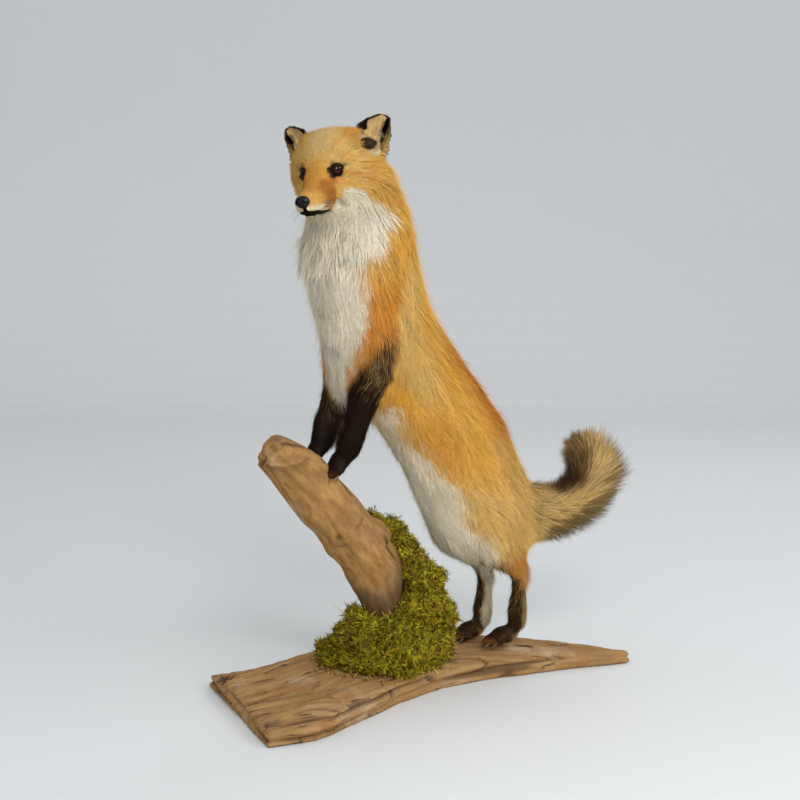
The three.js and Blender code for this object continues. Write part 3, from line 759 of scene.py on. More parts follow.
def normals_of(places, corners):
    a, b, c = (places[corners[:, k]] for k in range(3))
    face = np.cross(b - a, c - a)
    count = len(places)
    sums = [sum(np.bincount(corners[:, k], face[:, axis], count) for k in range(3)) for axis in range(3)]
    return unit(np.stack(sums, 1))


def neighbours(corners, count):
    """A function from places to the mean place of each vertex's neighbours."""
    a, b = corners.T.ravel(), np.roll(corners, -1, 1).T.ravel()
    number = np.maximum(np.bincount(a, minlength=count), 1)[:, None]
    return lambda places: np.stack([np.bincount(a, places[b, k], count) for k in range(3)], 1) / number


def relax(places, corners, rounds, hold=0.0, share=0.5):
    """Moves each vertex towards its neighbours' mean, less where hold is near 1."""
    mean = neighbours(corners, len(places))
    free = share * (1 - np.asarray(hold))[..., None]
    for _ in range(rounds):
        places = places + free * (mean(places) - places)
    return places


def fill(places, corners, rounds, share):
    """Raises hollows towards their surroundings, by a share that differs from place to place."""
    mean = neighbours(corners, len(places))
    for turn in range(rounds):
        if turn % 4 == 0:
            normals = normals_of(places, corners)
        off = mean(places) - places
        rise = np.clip(dot(off, normals), 0, 0.35)
        level = off - rise[:, None] * normals
        places = places + (share * rise)[:, None] * normals + (share * 0.3)[:, None] * level
    return places


def solid_copy(names, grow=0.4, extra=()):
    """One mesh of the CAD nodes, merged, each grown a little so that they overlap, and of extra balls."""
    whole = bmesh.new()
    for name in names:
        piece = bmesh.new()
        piece.from_mesh(frame["nodes"][name].data)
        bmesh.ops.remove_doubles(piece, verts=piece.verts, dist=1e-6)
        bmesh.ops.recalc_face_normals(piece, faces=piece.faces)
        piece.normal_update()
        moves = [v.co + v.normal * grow * MM for v in piece.verts]
        for v, place in zip(piece.verts, moves):
            v.co = place
        mesh = made(piece, "part")
        whole.from_mesh(mesh)
        bpy.data.meshes.remove(mesh)
    for centre, radius in extra:
        place = Matrix.Translation(Vector(centre) * MM)
        bmesh.ops.create_icosphere(whole, subdivisions=3, radius=radius * MM, matrix=place)
    return made(whole, "parts")


def applied(mesh, kind, chosen=(), **settings):
    """The mesh after one modifier, with the chosen vertices in a group of that name."""
    holder = bpy.data.objects.new("holder", mesh)
    if len(chosen):
        holder.vertex_groups.new(name="chosen").add(np.flatnonzero(chosen).tolist(), 1.0, "REPLACE")
    bpy.context.scene.collection.objects.link(holder)
    modifier = holder.modifiers.new(kind, kind)
    for key, value in settings.items():
        setattr(modifier, key, value)
    graph = bpy.context.evaluated_depsgraph_get()
    graph.update()
    result = bpy.data.meshes.new_from_object(holder.evaluated_get(graph))
    bpy.data.objects.remove(holder)
    bpy.data.meshes.remove(mesh)
    return result


def remeshed(mesh, cell):
    """The mesh rebuilt in even cells."""
    return applied(mesh, "REMESH", mode="VOXEL", voxel_size=cell, use_smooth_shade=True)


def largest(mesh):
    """Keeps the mesh's largest connected shell."""
    places, corners = arrays(mesh)
    label = np.arange(len(places))
    while True:
        lowest = label[corners].min(1)
        fresh = label.copy()
        for k in range(3):
            np.minimum.at(fresh, corners[:, k], lowest)
        fresh = fresh[fresh]
        if (fresh == label).all():
            break
        label = fresh
    kept = np.bincount(label).argmax()
    if (label != kept).any():
        bm = bmesh.new()
        bm.from_mesh(mesh)
        bm.verts.ensure_lookup_table()
        bmesh.ops.delete(bm, geom=[bm.verts[i] for i in np.flatnonzero(label != kept)], context="VERTS")
        bm.to_mesh(mesh)
        bm.free()
    return mesh


def attribute(mesh, name, kind, values):
    layer = mesh.attributes.get(name) or mesh.attributes.new(name, kind, "POINT")
    field = {"FLOAT": "value", "FLOAT_VECTOR": "vector", "FLOAT_COLOR": "color"}[kind]
    layer.data.foreach_set(field, np.ascontiguousarray(values, np.float32).ravel())


def paint_mesh(mesh, hue):
    attribute(mesh, "hue", "FLOAT_COLOR", np.concatenate([hue, np.ones((len(hue), 1))], 1))


def shown(name, mesh, material, *nodes, slot):
    """A finished piece on the fox's body that stands for the CAD nodes."""
    mesh.materials.clear()
    mesh.materials.append(material)
    mesh.polygons.foreach_set("use_smooth", np.ones(len(mesh.polygons), bool))
    piece = bpy.data.objects.new(name, mesh)
    mesh.name = name
    bpy.context.scene.collection.objects.link(piece)
    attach(piece, "root")
    if nodes:
        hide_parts(*nodes)


# ---- Materials -----------------------------------------------------------------------------


class Tree:
    """Short ways to add nodes. In a dictionary of sockets, a socket is linked and any other value is set."""

    def __init__(self, tree):
        self.tree = tree

    def join(self, node, sockets):
        for key, value in sockets.items():
            if isinstance(value, bpy.types.NodeSocket):
                self.tree.links.new(value, node.inputs[key])
            elif node.inputs[key].type == "RGBA":
                node.inputs[key].default_value = (*value, 1)
            else:
                node.inputs[key].default_value = value

    def add(self, kind, sockets, **settings):
        node = self.tree.nodes.new(kind)
        for key, value in settings.items():
            setattr(node, key, value)
        self.join(node, sockets)
        return node.outputs

    def place(self):
        return self.add("ShaderNodeTexCoord", {})["Object"]

    def attribute(self, name, output="Fac"):
        return self.add("ShaderNodeAttribute", {}, attribute_name=name)[output]

    def noise(self, vector, scale, detail=3, roughness=0.55, output="Fac"):
        sockets = {"Vector": vector, "Scale": scale, "Detail": detail, "Roughness": roughness}
        return self.add("ShaderNodeTexNoise", sockets)[output]

    def bump(self, height, strength, distance):
        return self.add("ShaderNodeBump", {"Height": height, "Strength": strength, "Distance": distance})[0]

    def math(self, operation, a, b=0.0):
        return self.add("ShaderNodeMath", {0: a, 1: b}, operation=operation)[0]

    def times(self, a, b):
        return self.math("MULTIPLY", a, b)

    def hypot(self, a, b):
        return self.math("SQRT", self.math("ADD", self.times(a, a), self.times(b, b)))

    def vector(self, operation, a, key, b):
        return self.add("ShaderNodeVectorMath", {0: a, key: b}, operation=operation)[0]

    def span(self, value, low, high, to_low=0.0, to_high=1.0):
        sockets = {"Value": value, "From Min": low, "From Max": high, "To Min": to_low, "To Max": to_high}
        return self.add("ShaderNodeMapRange", sockets)[0]

    def mix(self, share, a, b, blend="MIX"):
        return self.add("ShaderNodeMix", {0: share, 6: a, 7: b}, data_type="RGBA", blend_type=blend)[2]


def group(name, inputs, outputs):
    """A new shader node group: its nodes, its given sockets and its output node."""
    build = Tree(bpy.data.node_groups.new(name, "ShaderNodeTree"))
    for in_out, kinds in (("INPUT", inputs), ("OUTPUT", outputs)):
        for label, kind in kinds.items():
            build.tree.interface.new_socket(label, in_out=in_out, socket_type=f"NodeSocket{kind}")
    return build, build.add("NodeGroupInput", {}), build.tree.nodes.new("NodeGroupOutput")


def strand_group():
    """Colour of hair from its marking: darker at the root, as greyer underfur and as painted shade deep in
    the coat, paler at the tip, each strand its own.
    """
    name = "Hair strand"
    if name in bpy.data.node_groups:
        return bpy.data.node_groups[name]
    build, given, out = group(
        name,
        {"Marking": "Color"} | dict.fromkeys(("Along", "Strand", "Root shade", "Variation"), "Float"),
        {"Color": "Color", "Roughness": "Float"},
    )
    place = build.place()
    flecks, patches = build.noise(place, 260.0, 2), build.noise(place, 22.0, 2)
    # Painted shade: the root is darkened towards a tint, partly greyer underfur, partly shade deep in the
    # coat.
    depth = build.times(build.span(given["Along"], 0.0, 0.55, 1.0, 0.0), given["Root shade"])
    pale = build.add("ShaderNodeRGBToBW", {0: given["Marking"]})[0]
    root_shade_tint = build.mix(build.span(pale, 0.35, 0.8), (0.16, 0.11, 0.08), (0.62, 0.55, 0.46))
    shade = build.mix(depth, given["Marking"], root_shade_tint, "MULTIPLY")
    light = build.times(build.math("SUBTRACT", given["Strand"], 0.5), given["Variation"])
    for pattern, swing in ((flecks, 0.10), (patches, 0.05)):
        light = build.math("ADD", light, build.span(pattern, 0.3, 0.7, -swing, swing))
    light = build.math("ADD", light, 1.0)
    lit = build.add("ShaderNodeHueSaturation", {"Value": light, "Color": shade})[0]
    build.join(out, {"Color": lit, "Roughness": build.span(flecks, 0.2, 0.8, 0.5, 0.72)})
    return build.tree


def new_material(name, specular):
    """A material, its nodes and its shader."""
    material = bpy.data.materials.new(name)
    material.use_nodes = True
    build = Tree(material.node_tree)
    shader = material.node_tree.nodes["Principled BSDF"]
    shader.inputs["Specular IOR Level"].default_value = specular
    return material, build, shader


def hair_material(name, root_shade=0.30, variation=0.20):
    material, build, shader = new_material(name, 0.05)
    strand = {"Marking": build.attribute("hue", "Color"), "Along": build.attribute("along")}
    strand |= {"Strand": build.attribute("strand"), "Root shade": root_shade, "Variation": variation}
    look = build.add("ShaderNodeGroup", strand, node_tree=strand_group())
    build.join(shader, {"Base Color": look["Color"], "Roughness": look["Roughness"]})
    return material


def hide_material():
    """Skin under the coat, in the coat's own markings, darkened as underfur and as painted shade between the
    tufts, with short flat hair as bump.
    """
    material, build, shader = new_material("Hide", 0.04)
    strand = {"Marking": build.attribute("hue", "Color"), "Along": 1.0}
    strand |= {"Strand": 0.5, "Root shade": 0.0, "Variation": 0.3}
    look = build.add("ShaderNodeGroup", strand, node_tree=strand_group())
    # Painted shade: the hide is darkened as the underfur and the shade between the tufts.
    shade = build.mix(0.14, look["Color"], (0.40, 0.30, 0.22), "MULTIPLY")
    hairs = build.bump(build.noise(build.place(), 900.0, 3, 0.7), 0.6, 0.0006)
    build.join(shader, {"Base Color": shade, "Roughness": look["Roughness"], "Normal": hairs})
    return material


# ---- Hide ----------------------------------------------------------------------------------

FLESH = [
    "head", "muzzle", "lower_jaw", "ear_left", "ear_right", "neck", "chest", "loin", "rump",
    "tail_base", "tail_middle", "tail_tip",
    *(f"{side}_{part}" for side in ("left", "right") for part in
      ("upper_arm", "forearm", "forepaw", "thigh", "shin", "pastern", "hindpaw")),
]  # fmt: skip
HEAD_REACH = 130  # how far the finely made part of the head reaches from its centre
PAW_REACH = 45
EYE_REACH = 17  # how far round an eye's centre the lids reach
LID_RADIUS, SOCKET_RADIUS = 10.5, 7.4
COARSE_SHARE = 0.22  # of the triangles, away from the head and the paws
SINK_ROUNDS = 6
hide = {}


def of_head(own):
    return size_of(own) < HEAD_REACH


def refine_features(mesh):
    """Halves the edges at the eyes and the mouth, and triangulates."""
    bm = bmesh.new()
    bm.from_mesh(mesh)
    bm.verts.ensure_lookup_table()
    picked = near_features(np.array([v.co for v in bm.verts]) / MM)
    edges = [e for e in bm.edges if picked[e.verts[0].index] and picked[e.verts[1].index]]
    bmesh.ops.subdivide_edges(bm, edges=edges, cuts=1, use_grid_fill=True)
    bmesh.ops.triangulate(bm, faces=[f for f in bm.faces if len(f.verts) > 3])
    bm.to_mesh(mesh)
    bm.free()


def near_features(places):
    own = in_head(places)
    found = (lips(own) < 5) & by_mouth(own)
    for _, side in SIDES:
        found |= size_of(places - eye_centre(side)) < EYE_REACH
    return found


def join_flesh(coat):
    """One skin of all the flesh, finer at the head and the paws."""
    cell = coat.voxel * 1
    mesh = largest(remeshed(solid_copy(FLESH), cell))
    places, _ = arrays(mesh)
    own = in_head(places)
    fine = (own[:, 0] > -30) & of_head(own)
    for line in LEGS:
        fine |= size_of(places - line.points[FOOT]) < PAW_REACH
    thinning = {"ratio": COARSE_SHARE, "vertex_group": "chosen", "vertex_group_factor": 1.0}
    return applied(mesh, "DECIMATE", ~fine, **thinning)


def strongest(lie, lines, start, full, *ease):
    """How far each place belongs to the nearest of the lines, eased by how far along it lies."""
    shares = []
    for line in lines:
        share = step(start, full, lie.near[line.part])
        for low, high in ease:
            share = share * step(low, high, lie.along[line.part])
        shares.append(share)
    return np.max(shares, 0)


def draw_in(places, corners):
    """Smooths the joins between solids, then sinks the skin by the depth of the coat."""
    own = in_head(places)
    places = relax(places, corners, 6, np.where((own[:, 0] > -30) & of_head(own), 0.35, 0.0))
    places = relax(places, corners, 8, step(-28, -8, own[:, 0]) * of_head(own))
    lie = Lie(places, normals_of(places, corners))
    own = in_head(places)
    nearest_ear = np.minimum(lie.near["ear_left"], lie.near["ear_right"])
    nearest_leg = np.min([lie.near[line.part] for line in LEGS], 0)
    free = step(20, 28, np.minimum(*(size_of(places - eye_centre(s)) for _, s in SIDES)))
    ruff = (lie.near["head"] < 2.2) * step(58, 44, own[:, 0]) * step(14, 2, own[:, 2]) * free
    body = (nearest_ear > 2) * (nearest_leg > 1.2) * (lie.near["head"] > 1.6)
    limb = strongest(lie, LEGS, 1.4, 1.0, (0.2, 0.8), (4.2, 3.6))
    places = fill(places, corners, 110, np.clip(0.9 * ruff + 0.5 * body + 0.3 * limb, 0, 1) * 0.6)
    places = relax(places, corners, 10, 1 - limb)
    low_ear = strongest(lie, EARS, 1.9, 1.5, (1.0, 0.5))
    places = fill(places, corners, 60, 0.6 * low_ear * free * step(6, -6, own[:, 0]))
    places = relax(places, corners, 12, 1 - low_ear * free)

    lie = Lie(places, normals_of(places, corners))
    hold = step(-10, 5, own[:, 0]) * (lie.near["head"] < 1.7)
    hold = np.maximum.reduce([hold, step(2.2, 1.8, nearest_ear) * 0.7, 0.6 * (nearest_leg < 0.6)])
    for _ in range(SINK_ROUNDS):
        places = places - normals_of(places, corners) * lie.depth[:, None] / SINK_ROUNDS
        places = relax(places, corners, 3, hold)
    for _, s in SIDES:
        hollow = size_of((in_head(places) * [1, s, 1] - EAR_HOLLOW) / [15, 12, 11])
        inwards = HEAD_TURN @ unit(np.array([0.55, 0.8 * s, 0.15]))
        places = places - (7 * step(1.1, 0.2, hollow))[:, None] * inwards
    return places


def shape_lids(places, side):
    """Makes the lids hug the eyeball. Inside their edge the skin passes behind it."""
    centre = eye_centre(side)
    outside, x, y, z = eye_opening(places, side)
    off = places - centre
    gap = size_of(off)
    reach = (gap < EYE_REACH) & (z > -1)
    lid = LID_RADIUS + 0.5 * step(0, 2.5, outside)
    wanted = np.where(outside > 0, lid, lid + (SOCKET_RADIUS - lid) * step(0.0, -0.9, outside))
    radius = np.where(outside > 0, gap + (wanted - gap) * step(6.0, 1.6, outside), wanted)
    brow = 0.7 * step(2.0, 4.0, outside) * step(8.5, 5.0, outside) * (y > 1)
    places = np.where(reach[:, None], centre + off / gap[:, None] * (radius + brow)[:, None], places)
    dip = reach * 1.5 * step(4.8, 1.5, tear_gap(x, y)) * (outside > 0)
    return places - dip[:, None] * eye_axes(side)[2]


def shape_lips(places, corners):
    """A groove along the mouth, with the upper lip rolling over it."""
    own = in_head(places)
    gap = lips(own)
    dip = -2.1 * step(1.7, 0.2, gap) + 0.8 * step(4.2, 2.6, gap) * step(0.8, 2.2, gap)
    return places + (by_mouth(own) * dip)[:, None] * normals_of(places, corners)


def build_hide(context):
    """The skin, made once: its mesh, its arrays and the lie of the coat over it."""
    if hide:
        return hide
    coat = context.scene.fox_coat
    mesh = join_flesh(coat)
    put(mesh, draw_in(*arrays(mesh)))
    for _ in range(2):
        refine_features(mesh)
    places, corners = arrays(mesh)
    places = relax(places, corners, 2, (~near_features(places)).astype(float), 0.4)
    for _, side in SIDES:
        places = shape_lids(places, side)
    places = shape_lips(places, corners)
    put(mesh, places)
    normals = normals_of(places, corners)
    outer = places + normals * Lie(places, normals).depth[:, None]
    lie = Lie(outer, normals)
    paint_mesh(mesh, Markings(outer, normals, lie, coat).hue)
    hide.update(mesh=mesh, places=places, corners=corners, normals=normals, lie=lie)
    return hide


# ---- Coat ----------------------------------------------------------------------------------

PIECES = {
    "head": "coat_ochre", "ears": "coat_ochre", "neck": "coat_ochre", "chest": "coat_ochre",
    "loin": "coat_ochre", "rump": "coat_ochre", "tail": "coat_brush", "forelegs": "coat_stocking",
    "hindlegs": "coat_ochre", "bib": "coat_cream",
}  # fmt: skip
NUMBER = {label: i for i, label in enumerate(PIECES)}
PART_PIECES = {"head": "head", "ear": "ears", "tail": "tail", "fore": "forelegs", "hind": "hindlegs"}
TUFTS = 32500  # most tufts in a piece
ROOTED = 0.8  # how deep a tuft starts in the skin
FLATNESS = 0.32
CHART = 0.003  # side of a tuft's own patch in the bake's unwrap


def piece_of(lie, places):
    """The number in PIECES of the coat piece at each place."""
    parts = list(lie.near)
    name = np.array(parts)[np.argmin(np.stack([lie.near[p] for p in parts]), 0)]
    down, (_, angle) = lie.along["trunk"], spine_place(places)
    upper = [NUMBER[label] for label in ("neck", "chest", "loin")]
    number = np.select([down < 2.3, down < 4.0, down < 5.4], upper, NUMBER["rump"])
    number[(down < 4.0) & (abs(angle) > 118)] = NUMBER["bib"]
    for kind, label in PART_PIECES.items():
        number[np.char.startswith(name, kind)] = NUMBER[label]
    return number


def scatter(places, corners, density, rng):
    """Even random spots on triangles: triangle numbers and their shares of the three corners."""
    a, b, c = (places[corners[:, k]] for k in range(3))
    area = size_of(np.cross(b - a, c - a)) / 2
    number = np.floor(area * density + rng.random(len(area))).astype(int)
    which = np.repeat(np.arange(len(area)), number)
    u, v = rng.random(len(which)), rng.random(len(which))
    over = u + v > 1
    u[over], v[over] = 1 - u[over], 1 - v[over]
    return which, np.stack([1 - u - v, u, v], 1)


def blend_at(values, corners, which, shares):
    picked = values[corners[which]]
    return (picked * (shares if picked.ndim == 2 else shares[..., None])).sum(1)


def spindles(name, softness, tufts, girths=(1.0,), marks=(0.0, 0.42, 1.0)):
    """Closed tapering tufts in one mesh: each starts in the skin, swells and ends in a point."""
    t = SimpleNamespace(**tufts)
    count, rings = len(t.root), len(girths)
    across = unit(np.cross(t.flow, t.normal))
    centres, ways = [t.root - t.normal * ROOTED], []
    for low, high in zip(marks, marks[1:]):
        turn = t.lift + t.bend * (0.55 - (low + high) / 2) * 1.6
        way = t.flow * np.cos(turn)[:, None] + t.normal * np.sin(turn)[:, None]
        centres.append(centres[-1] + way * (t.reach * (high - low))[:, None])
        ways.append(way)

    # Vertices of a tuft: its root, three round each ring, its point.
    each = 2 + 3 * rings
    places, shade, along = np.empty((count, each, 3)), np.empty((count, each, 3)), np.empty((count, each))
    places[:, 0], places[:, -1] = centres[0], centres[-1]
    shade[:, 0], shade[:, -1] = t.normal, unit(t.normal * softness + ways[-1] * 0.4)
    along[:, 0], along[:, -1] = 0, 1
    patch = np.zeros((each, 2))
    patch[0], patch[-1] = (0.0, CHART / 2), (CHART, CHART / 2)
    for r in range(rings):
        rise = unit(np.cross(across, ways[r + 1]))
        for k, (turn, off) in enumerate(((3, CHART / 2), (11, CHART), (7, 0.0))):
            turn = math.pi * turn / 6
            side = across * math.cos(turn) + rise * math.sin(turn) * FLATNESS
            at = 1 + 3 * r + k
            places[:, at] = centres[r + 1] + side * (t.width * girths[r] / 2)[:, None]
            shade[:, at] = unit(t.normal * softness + unit(side) * (1 - softness) * 1.3)
            along[:, at] = marks[r + 1]
            patch[at] = (CHART * marks[r + 1], off)
    faces = [(1 + (k + 1) % 3, 1 + k, 0) for k in range(3)]
    for low in range(1, 3 * rings - 3, 3):
        for k in range(3):
            n = (k + 1) % 3
            faces += [(low + k, low + n, low + 3 + n), (low + k, low + 3 + n, low + 3 + k)]
    top = 3 * rings - 2
    faces += [(top + k, top + (k + 1) % 3, each - 1) for k in range(3)]
    corners = (np.arange(count)[:, None, None] * each + np.array(faces)).reshape(-1, 3)

    mesh = bpy.data.meshes.new(name)
    mesh.vertices.add(count * each)
    mesh.vertices.foreach_set("co", (places * MM).astype(np.float32).ravel())
    mesh.loops.add(corners.size)
    mesh.loops.foreach_set("vertex_index", corners.astype(np.int32).ravel())
    mesh.polygons.add(len(corners))
    mesh.polygons.foreach_set("loop_start", np.arange(0, corners.size, 3, dtype=np.int32))
    mesh.update(calc_edges=True)
    mesh.polygons.foreach_set("use_smooth", np.ones(len(corners), bool))
    blend = along[..., None]
    hue = t.base[:, None] * (1 - blend) + t.tip[:, None] * blend
    paint_mesh(mesh, np.clip(hue, 0, 1).reshape(-1, 3))
    attribute(mesh, "along", "FLOAT", along.ravel())
    attribute(mesh, "strand", "FLOAT", np.repeat(t.strand, each))
    spots = (t.chart[:, None] + patch[None]).reshape(-1, 2)
    layer = mesh.uv_layers.new(name="OFBake")
    layer.data.foreach_set("uv", np.clip(spots[corners.ravel()], 0, 1).astype(np.float32).ravel())
    mesh.normals_split_custom_set_from_vertices(shade.reshape(-1, 3).astype(np.float32))
    return mesh


def charts_of(mesh):
    """Unwraps the skin's own shape, and gives the UV of each corner of each triangle."""
    mesh.uv_layers.new(name="OFBake")
    holder = bpy.data.objects.new("holder", mesh)
    bpy.context.scene.collection.objects.link(holder)
    for other in bpy.context.scene.objects:
        other.select_set(other == holder)
    bpy.context.view_layer.objects.active = holder
    bpy.ops.object.mode_set(mode="EDIT")
    bpy.ops.mesh.select_all(action="SELECT")
    bpy.ops.uv.smart_project(angle_limit=math.radians(66), island_margin=0.004)
    bpy.ops.object.mode_set(mode="OBJECT")
    bpy.data.objects.remove(holder)
    spots = np.empty(len(mesh.loops) * 2)
    mesh.uv_layers["OFBake"].data.foreach_get("uv", spots)
    mesh.calc_loop_triangles()
    order = np.empty(len(mesh.loop_triangles) * 3, np.int64)
    mesh.loop_triangles.foreach_get("loops", order)
    return spots.reshape(-1, 2)[order].reshape(-1, 3, 2)


def sow_tufts(skin, coat, rng):
    """Tufts over the skin, thinned where a piece has too many and where the skin is bare."""
    places, corners, normals, lie = (skin[k] for k in ("places", "corners", "normals", "lie"))
    charts = charts_of(skin["mesh"])
    hair = lie.hair * coat.hair
    width = lie.width * 1.0
    cover = lie.cover * coat.cover / 1.0
    density = (cover / (0.5 * width * hair))[corners].mean(1)
    which, shares = scatter(places, corners, density, rng)
    root, normal, flow, reach, width, depth = (
        blend_at(values, corners, which, shares)
        for values in (places, normals, lie.flow, hair, width, lie.depth)
    )
    normal = unit(normal)
    chart = (charts[which] * shares[..., None]).sum(1)
    outer = root + normal * depth[:, None]
    own = Lie(outer, normal)
    marks = Markings(outer, normal, own, coat)
    number = piece_of(own, root)
    keep = rng.random(len(root)) > marks.bare
    for i in range(len(PIECES)):
        mine = rng.permutation(np.flatnonzero((number == i) & keep))
        if len(mine) > TUFTS:
            keep[mine[TUFTS:]] = False
            width[mine] *= (len(mine) / TUFTS) ** 0.6
    tufts = dict(root=root, normal=normal, flow=flow, reach=reach, width=width, depth=depth, chart=chart)
    tufts |= dict(hue=marks.hue, tipped=marks.tipped, grizzle=marks.grizzle, number=number)
    t = SimpleNamespace(**{key: values[keep] for key, values in tufts.items()})
    for key in ("near", "along"):
        found = getattr(own, key)
        setattr(t, key, {line.part: found[line.part][keep] for line in LEGS})
    return t


def comb_tufts(t, rng):
    """Gives each tuft its own way, length, lift and bend."""
    count, root, normal = len(t.root), t.root, t.normal
    sway = 0.08 * waves(root, 13, 21)[:, None] * np.cross(normal, t.flow)
    flow = t.flow + 0.08 * rng.normal(size=(count, 3)) + sway
    t.flow = unit(flow - normal * dot(flow, normal)[:, None])
    t.reach = t.reach * rng.uniform(0.75, 1.15, count) * (1 + 0.08 * waves(root, 16, 22))
    stand = np.clip(t.depth * (0.98 + 0.06 * waves(root, 12, 23)) / t.reach, 0.05, 0.9)
    t.lift = np.arcsin(stand) * rng.uniform(0.86, 1.12, count)
    t.bend = np.clip(1.7 * t.lift, 0.25, 1.15) * rng.uniform(0.8, 1.15, count)

    # The brush is fluffier, most at the outside of its far bend.
    fluff = t.number == NUMBER["tail"]
    far = fluff * step(240, 262, root[:, 0]) * step(0.2, 0.8, brush_rim(root, normal))
    far = far * step(236, 270, root[:, 2]) * step(112, 96, root[:, 1])
    t.lift = t.lift + fluff * rng.uniform(0.0, 0.35, count) + 0.15 * far
    t.reach = t.reach * (1 + 0.42 * far)
    t.bend = t.bend * (1 - 0.6 * fluff)

    # Longer hair stands off behind the hocks and between the forelegs.
    for line in LEGS[2:]:
        heel = step(24, 8, size_of(root - line.points[HOCK] + [0, 0, 5]))
        heel = heel * step(0.2, 0.7, dot(normal, -ahead_of(HIP_BEARING)))
        t.lift, t.reach = t.lift + 0.27 * heel, t.reach * (1 + 0.25 * heel)
    for line, way in zip(LEGS[:2], (-1, 1)):
        near, along = t.near[line.part], t.along[line.part]
        facing = step(0.2, 0.7, dot(normal, left_of(CHEST_BEARING) * way)) * (near < 1.2)
        facing = facing * step(0.9, 1.5, along) * step(3.6, 2.8, along)
        t.lift, t.reach = t.lift + 0.25 * facing, t.reach * (1 + 0.3 * facing)

    loose = (rng.random(count) < 0.12) & (t.reach > 9) & (t.number > NUMBER["ears"])
    t.lift = t.lift + loose * rng.uniform(0.08, 0.36, count)
    t.reach = t.reach * (1 + 0.12 * loose)
    t.width = t.width * (1 - 0.4 * loose)


def grow_coat(context):
    coat = context.scene.fox_coat
    rng = np.random.default_rng(7)
    t = sow_tufts(build_hide(context), coat, rng)
    comb_tufts(t, rng)
    count = len(t.root)
    t.strand = rng.random(count)
    fleck = rng.random(count) < t.grizzle
    hue = np.where(fleck[:, None], mix(t.hue, coat.buff, rng.uniform(0.08, 0.46, count)), t.hue)
    black = (rng.random(count) < t.tipped)[:, None]
    pale = mix(hue * 1.04, coat.cream, 0.03 * (hue.mean(1) > 0.12))
    t.tip = np.where(black, mix(hue * 0.25, coat.sable, 0.6), pale)
    t.base = np.where(black, hue * 0.85, hue)
    finish = hair_material("Coat")
    keys = ("root", "normal", "flow", "reach", "width", "lift", "bend", "base", "tip", "strand", "chart")
    for label, slot in PIECES.items():
        mine = t.number == NUMBER[label]
        mesh = spindles(f"coat_{label}", 0.88, {key: getattr(t, key)[mine] for key in keys})
        shown(f"coat_{label}", mesh, finish, slot=slot)
        print("coat", label, len(mesh.polygons))


# ---- Eyes, nose, claws, whiskers -----------------------------------------------------------


def glass_material(settings):
    """Glass eye: black pupil, streaked amber iris with a dark edge, under a clear gloss."""
    material, build, shader = new_material("Glass eye", 0.0)
    x, y, _ = build.add("ShaderNodeSeparateXYZ", {0: build.attribute("eye", "Vector")})
    radius = build.hypot(x, y)
    wide, high = ("DIVIDE", x, settings.pupil_width), ("DIVIDE", y, settings.pupil_height)
    slit = build.hypot(build.math(*wide), build.math(*high))
    spokes = {0: build.math("ARCTAN2", y, x), 1: build.times(radius, 60.0)}
    streaks = build.noise(build.add("ShaderNodeCombineXYZ", spokes)[0], 9.0, 4)
    end = settings.iris_radius
    ring = build.mix(build.span(streaks, 0.35, 0.7), settings.iris, settings.iris_streak)
    ring = build.mix(build.span(radius, end * 0.72, end), ring, settings.iris_edge)
    ring = build.mix(build.span(radius, end, end * 1.12), ring, settings.around)
    ring = build.mix(build.span(slit, 0.92, 1.08), settings.pupil, ring)
    gloss = {"Coat Weight": 0.35, "Coat IOR": 1.38, "Coat Roughness": 0.02}
    build.join(shader, {"Base Color": ring, "Roughness": 0.5, **gloss})
    return material


def make_eye(side):
    """A ball with a slightly raised cornea, turned to the gaze."""
    mesh, local = ball("eye", EYE_RADIUS)
    local[:, 2] += 0.55 * step(6.6, 2.0, np.hypot(*local.T[:2])) * (local[:, 2] > 0)
    attribute(mesh, "eye", "FLOAT_VECTOR", local * MM)
    put(mesh, local @ tilted(GAZE * side, "Y").T @ np.array(eye_axes(side)) + eye_centre(side))
    return mesh


def leather_material(settings):
    material, build, shader = new_material("Nose leather", 0.12)
    place = build.place()
    grains = {"Vector": place, "Scale": 950.0, "Smoothness": 0.4}
    pebbles = build.add("ShaderNodeTexVoronoi", grains, feature="SMOOTH_F1")["Distance"]
    build.join(shader, {
        # The grooves between the pebbles take the darker colour as painted shade.
        "Base Color": build.mix(build.span(pebbles, 0.1, 0.7), settings.leather, settings.leather_groove_shade),
        "Normal": build.bump(build.span(pebbles, 0.0, 0.8, 1.0, 0.0), 0.55, 0.0004),
        "Roughness": build.span(build.noise(place, 120.0), 0.3, 0.7, 0.38, 0.55),
    })  # fmt: skip
    return material


def make_nose():
    """The nose pad with its two comma nostrils and the groove between them."""
    mesh, local = ball("nose", 1.0)
    square = np.sign(local) * abs(local) ** 0.86
    local = unit(square) * size_of(square)[:, None] ** 0.5
    local *= [8.0, 9.3, 7.8]
    ahead, left, up = local.T
    side = abs(left)
    local[:, 1] *= 1 - 0.22 * step(1, -7, up)
    dent = 3.4 * step(2.5, 0.9, np.hypot(side - 4.1, (up + 0.2) * 1.05)) * (ahead > 0)
    comma = 2.4 * step(1.9, 0.5, np.hypot((side - 6.6) * 0.8, up + 1.6)) * (ahead > -2)
    groove = 0.9 * step(1.1, 0.2, side) * step(3.5, 1.0, up) * (ahead > 0)
    local[:, 0] -= np.maximum(dent, comma) + groove
    gap = np.hypot(side - 4.3, up)
    local[:, 0] += 0.7 * step(3.4, 2.2, gap) * step(1.4, 2.4, gap) * (ahead > 0)
    put(mesh, (local + NOSE) @ HEAD_TURN.T + HEAD_CENTRE)
    return mesh


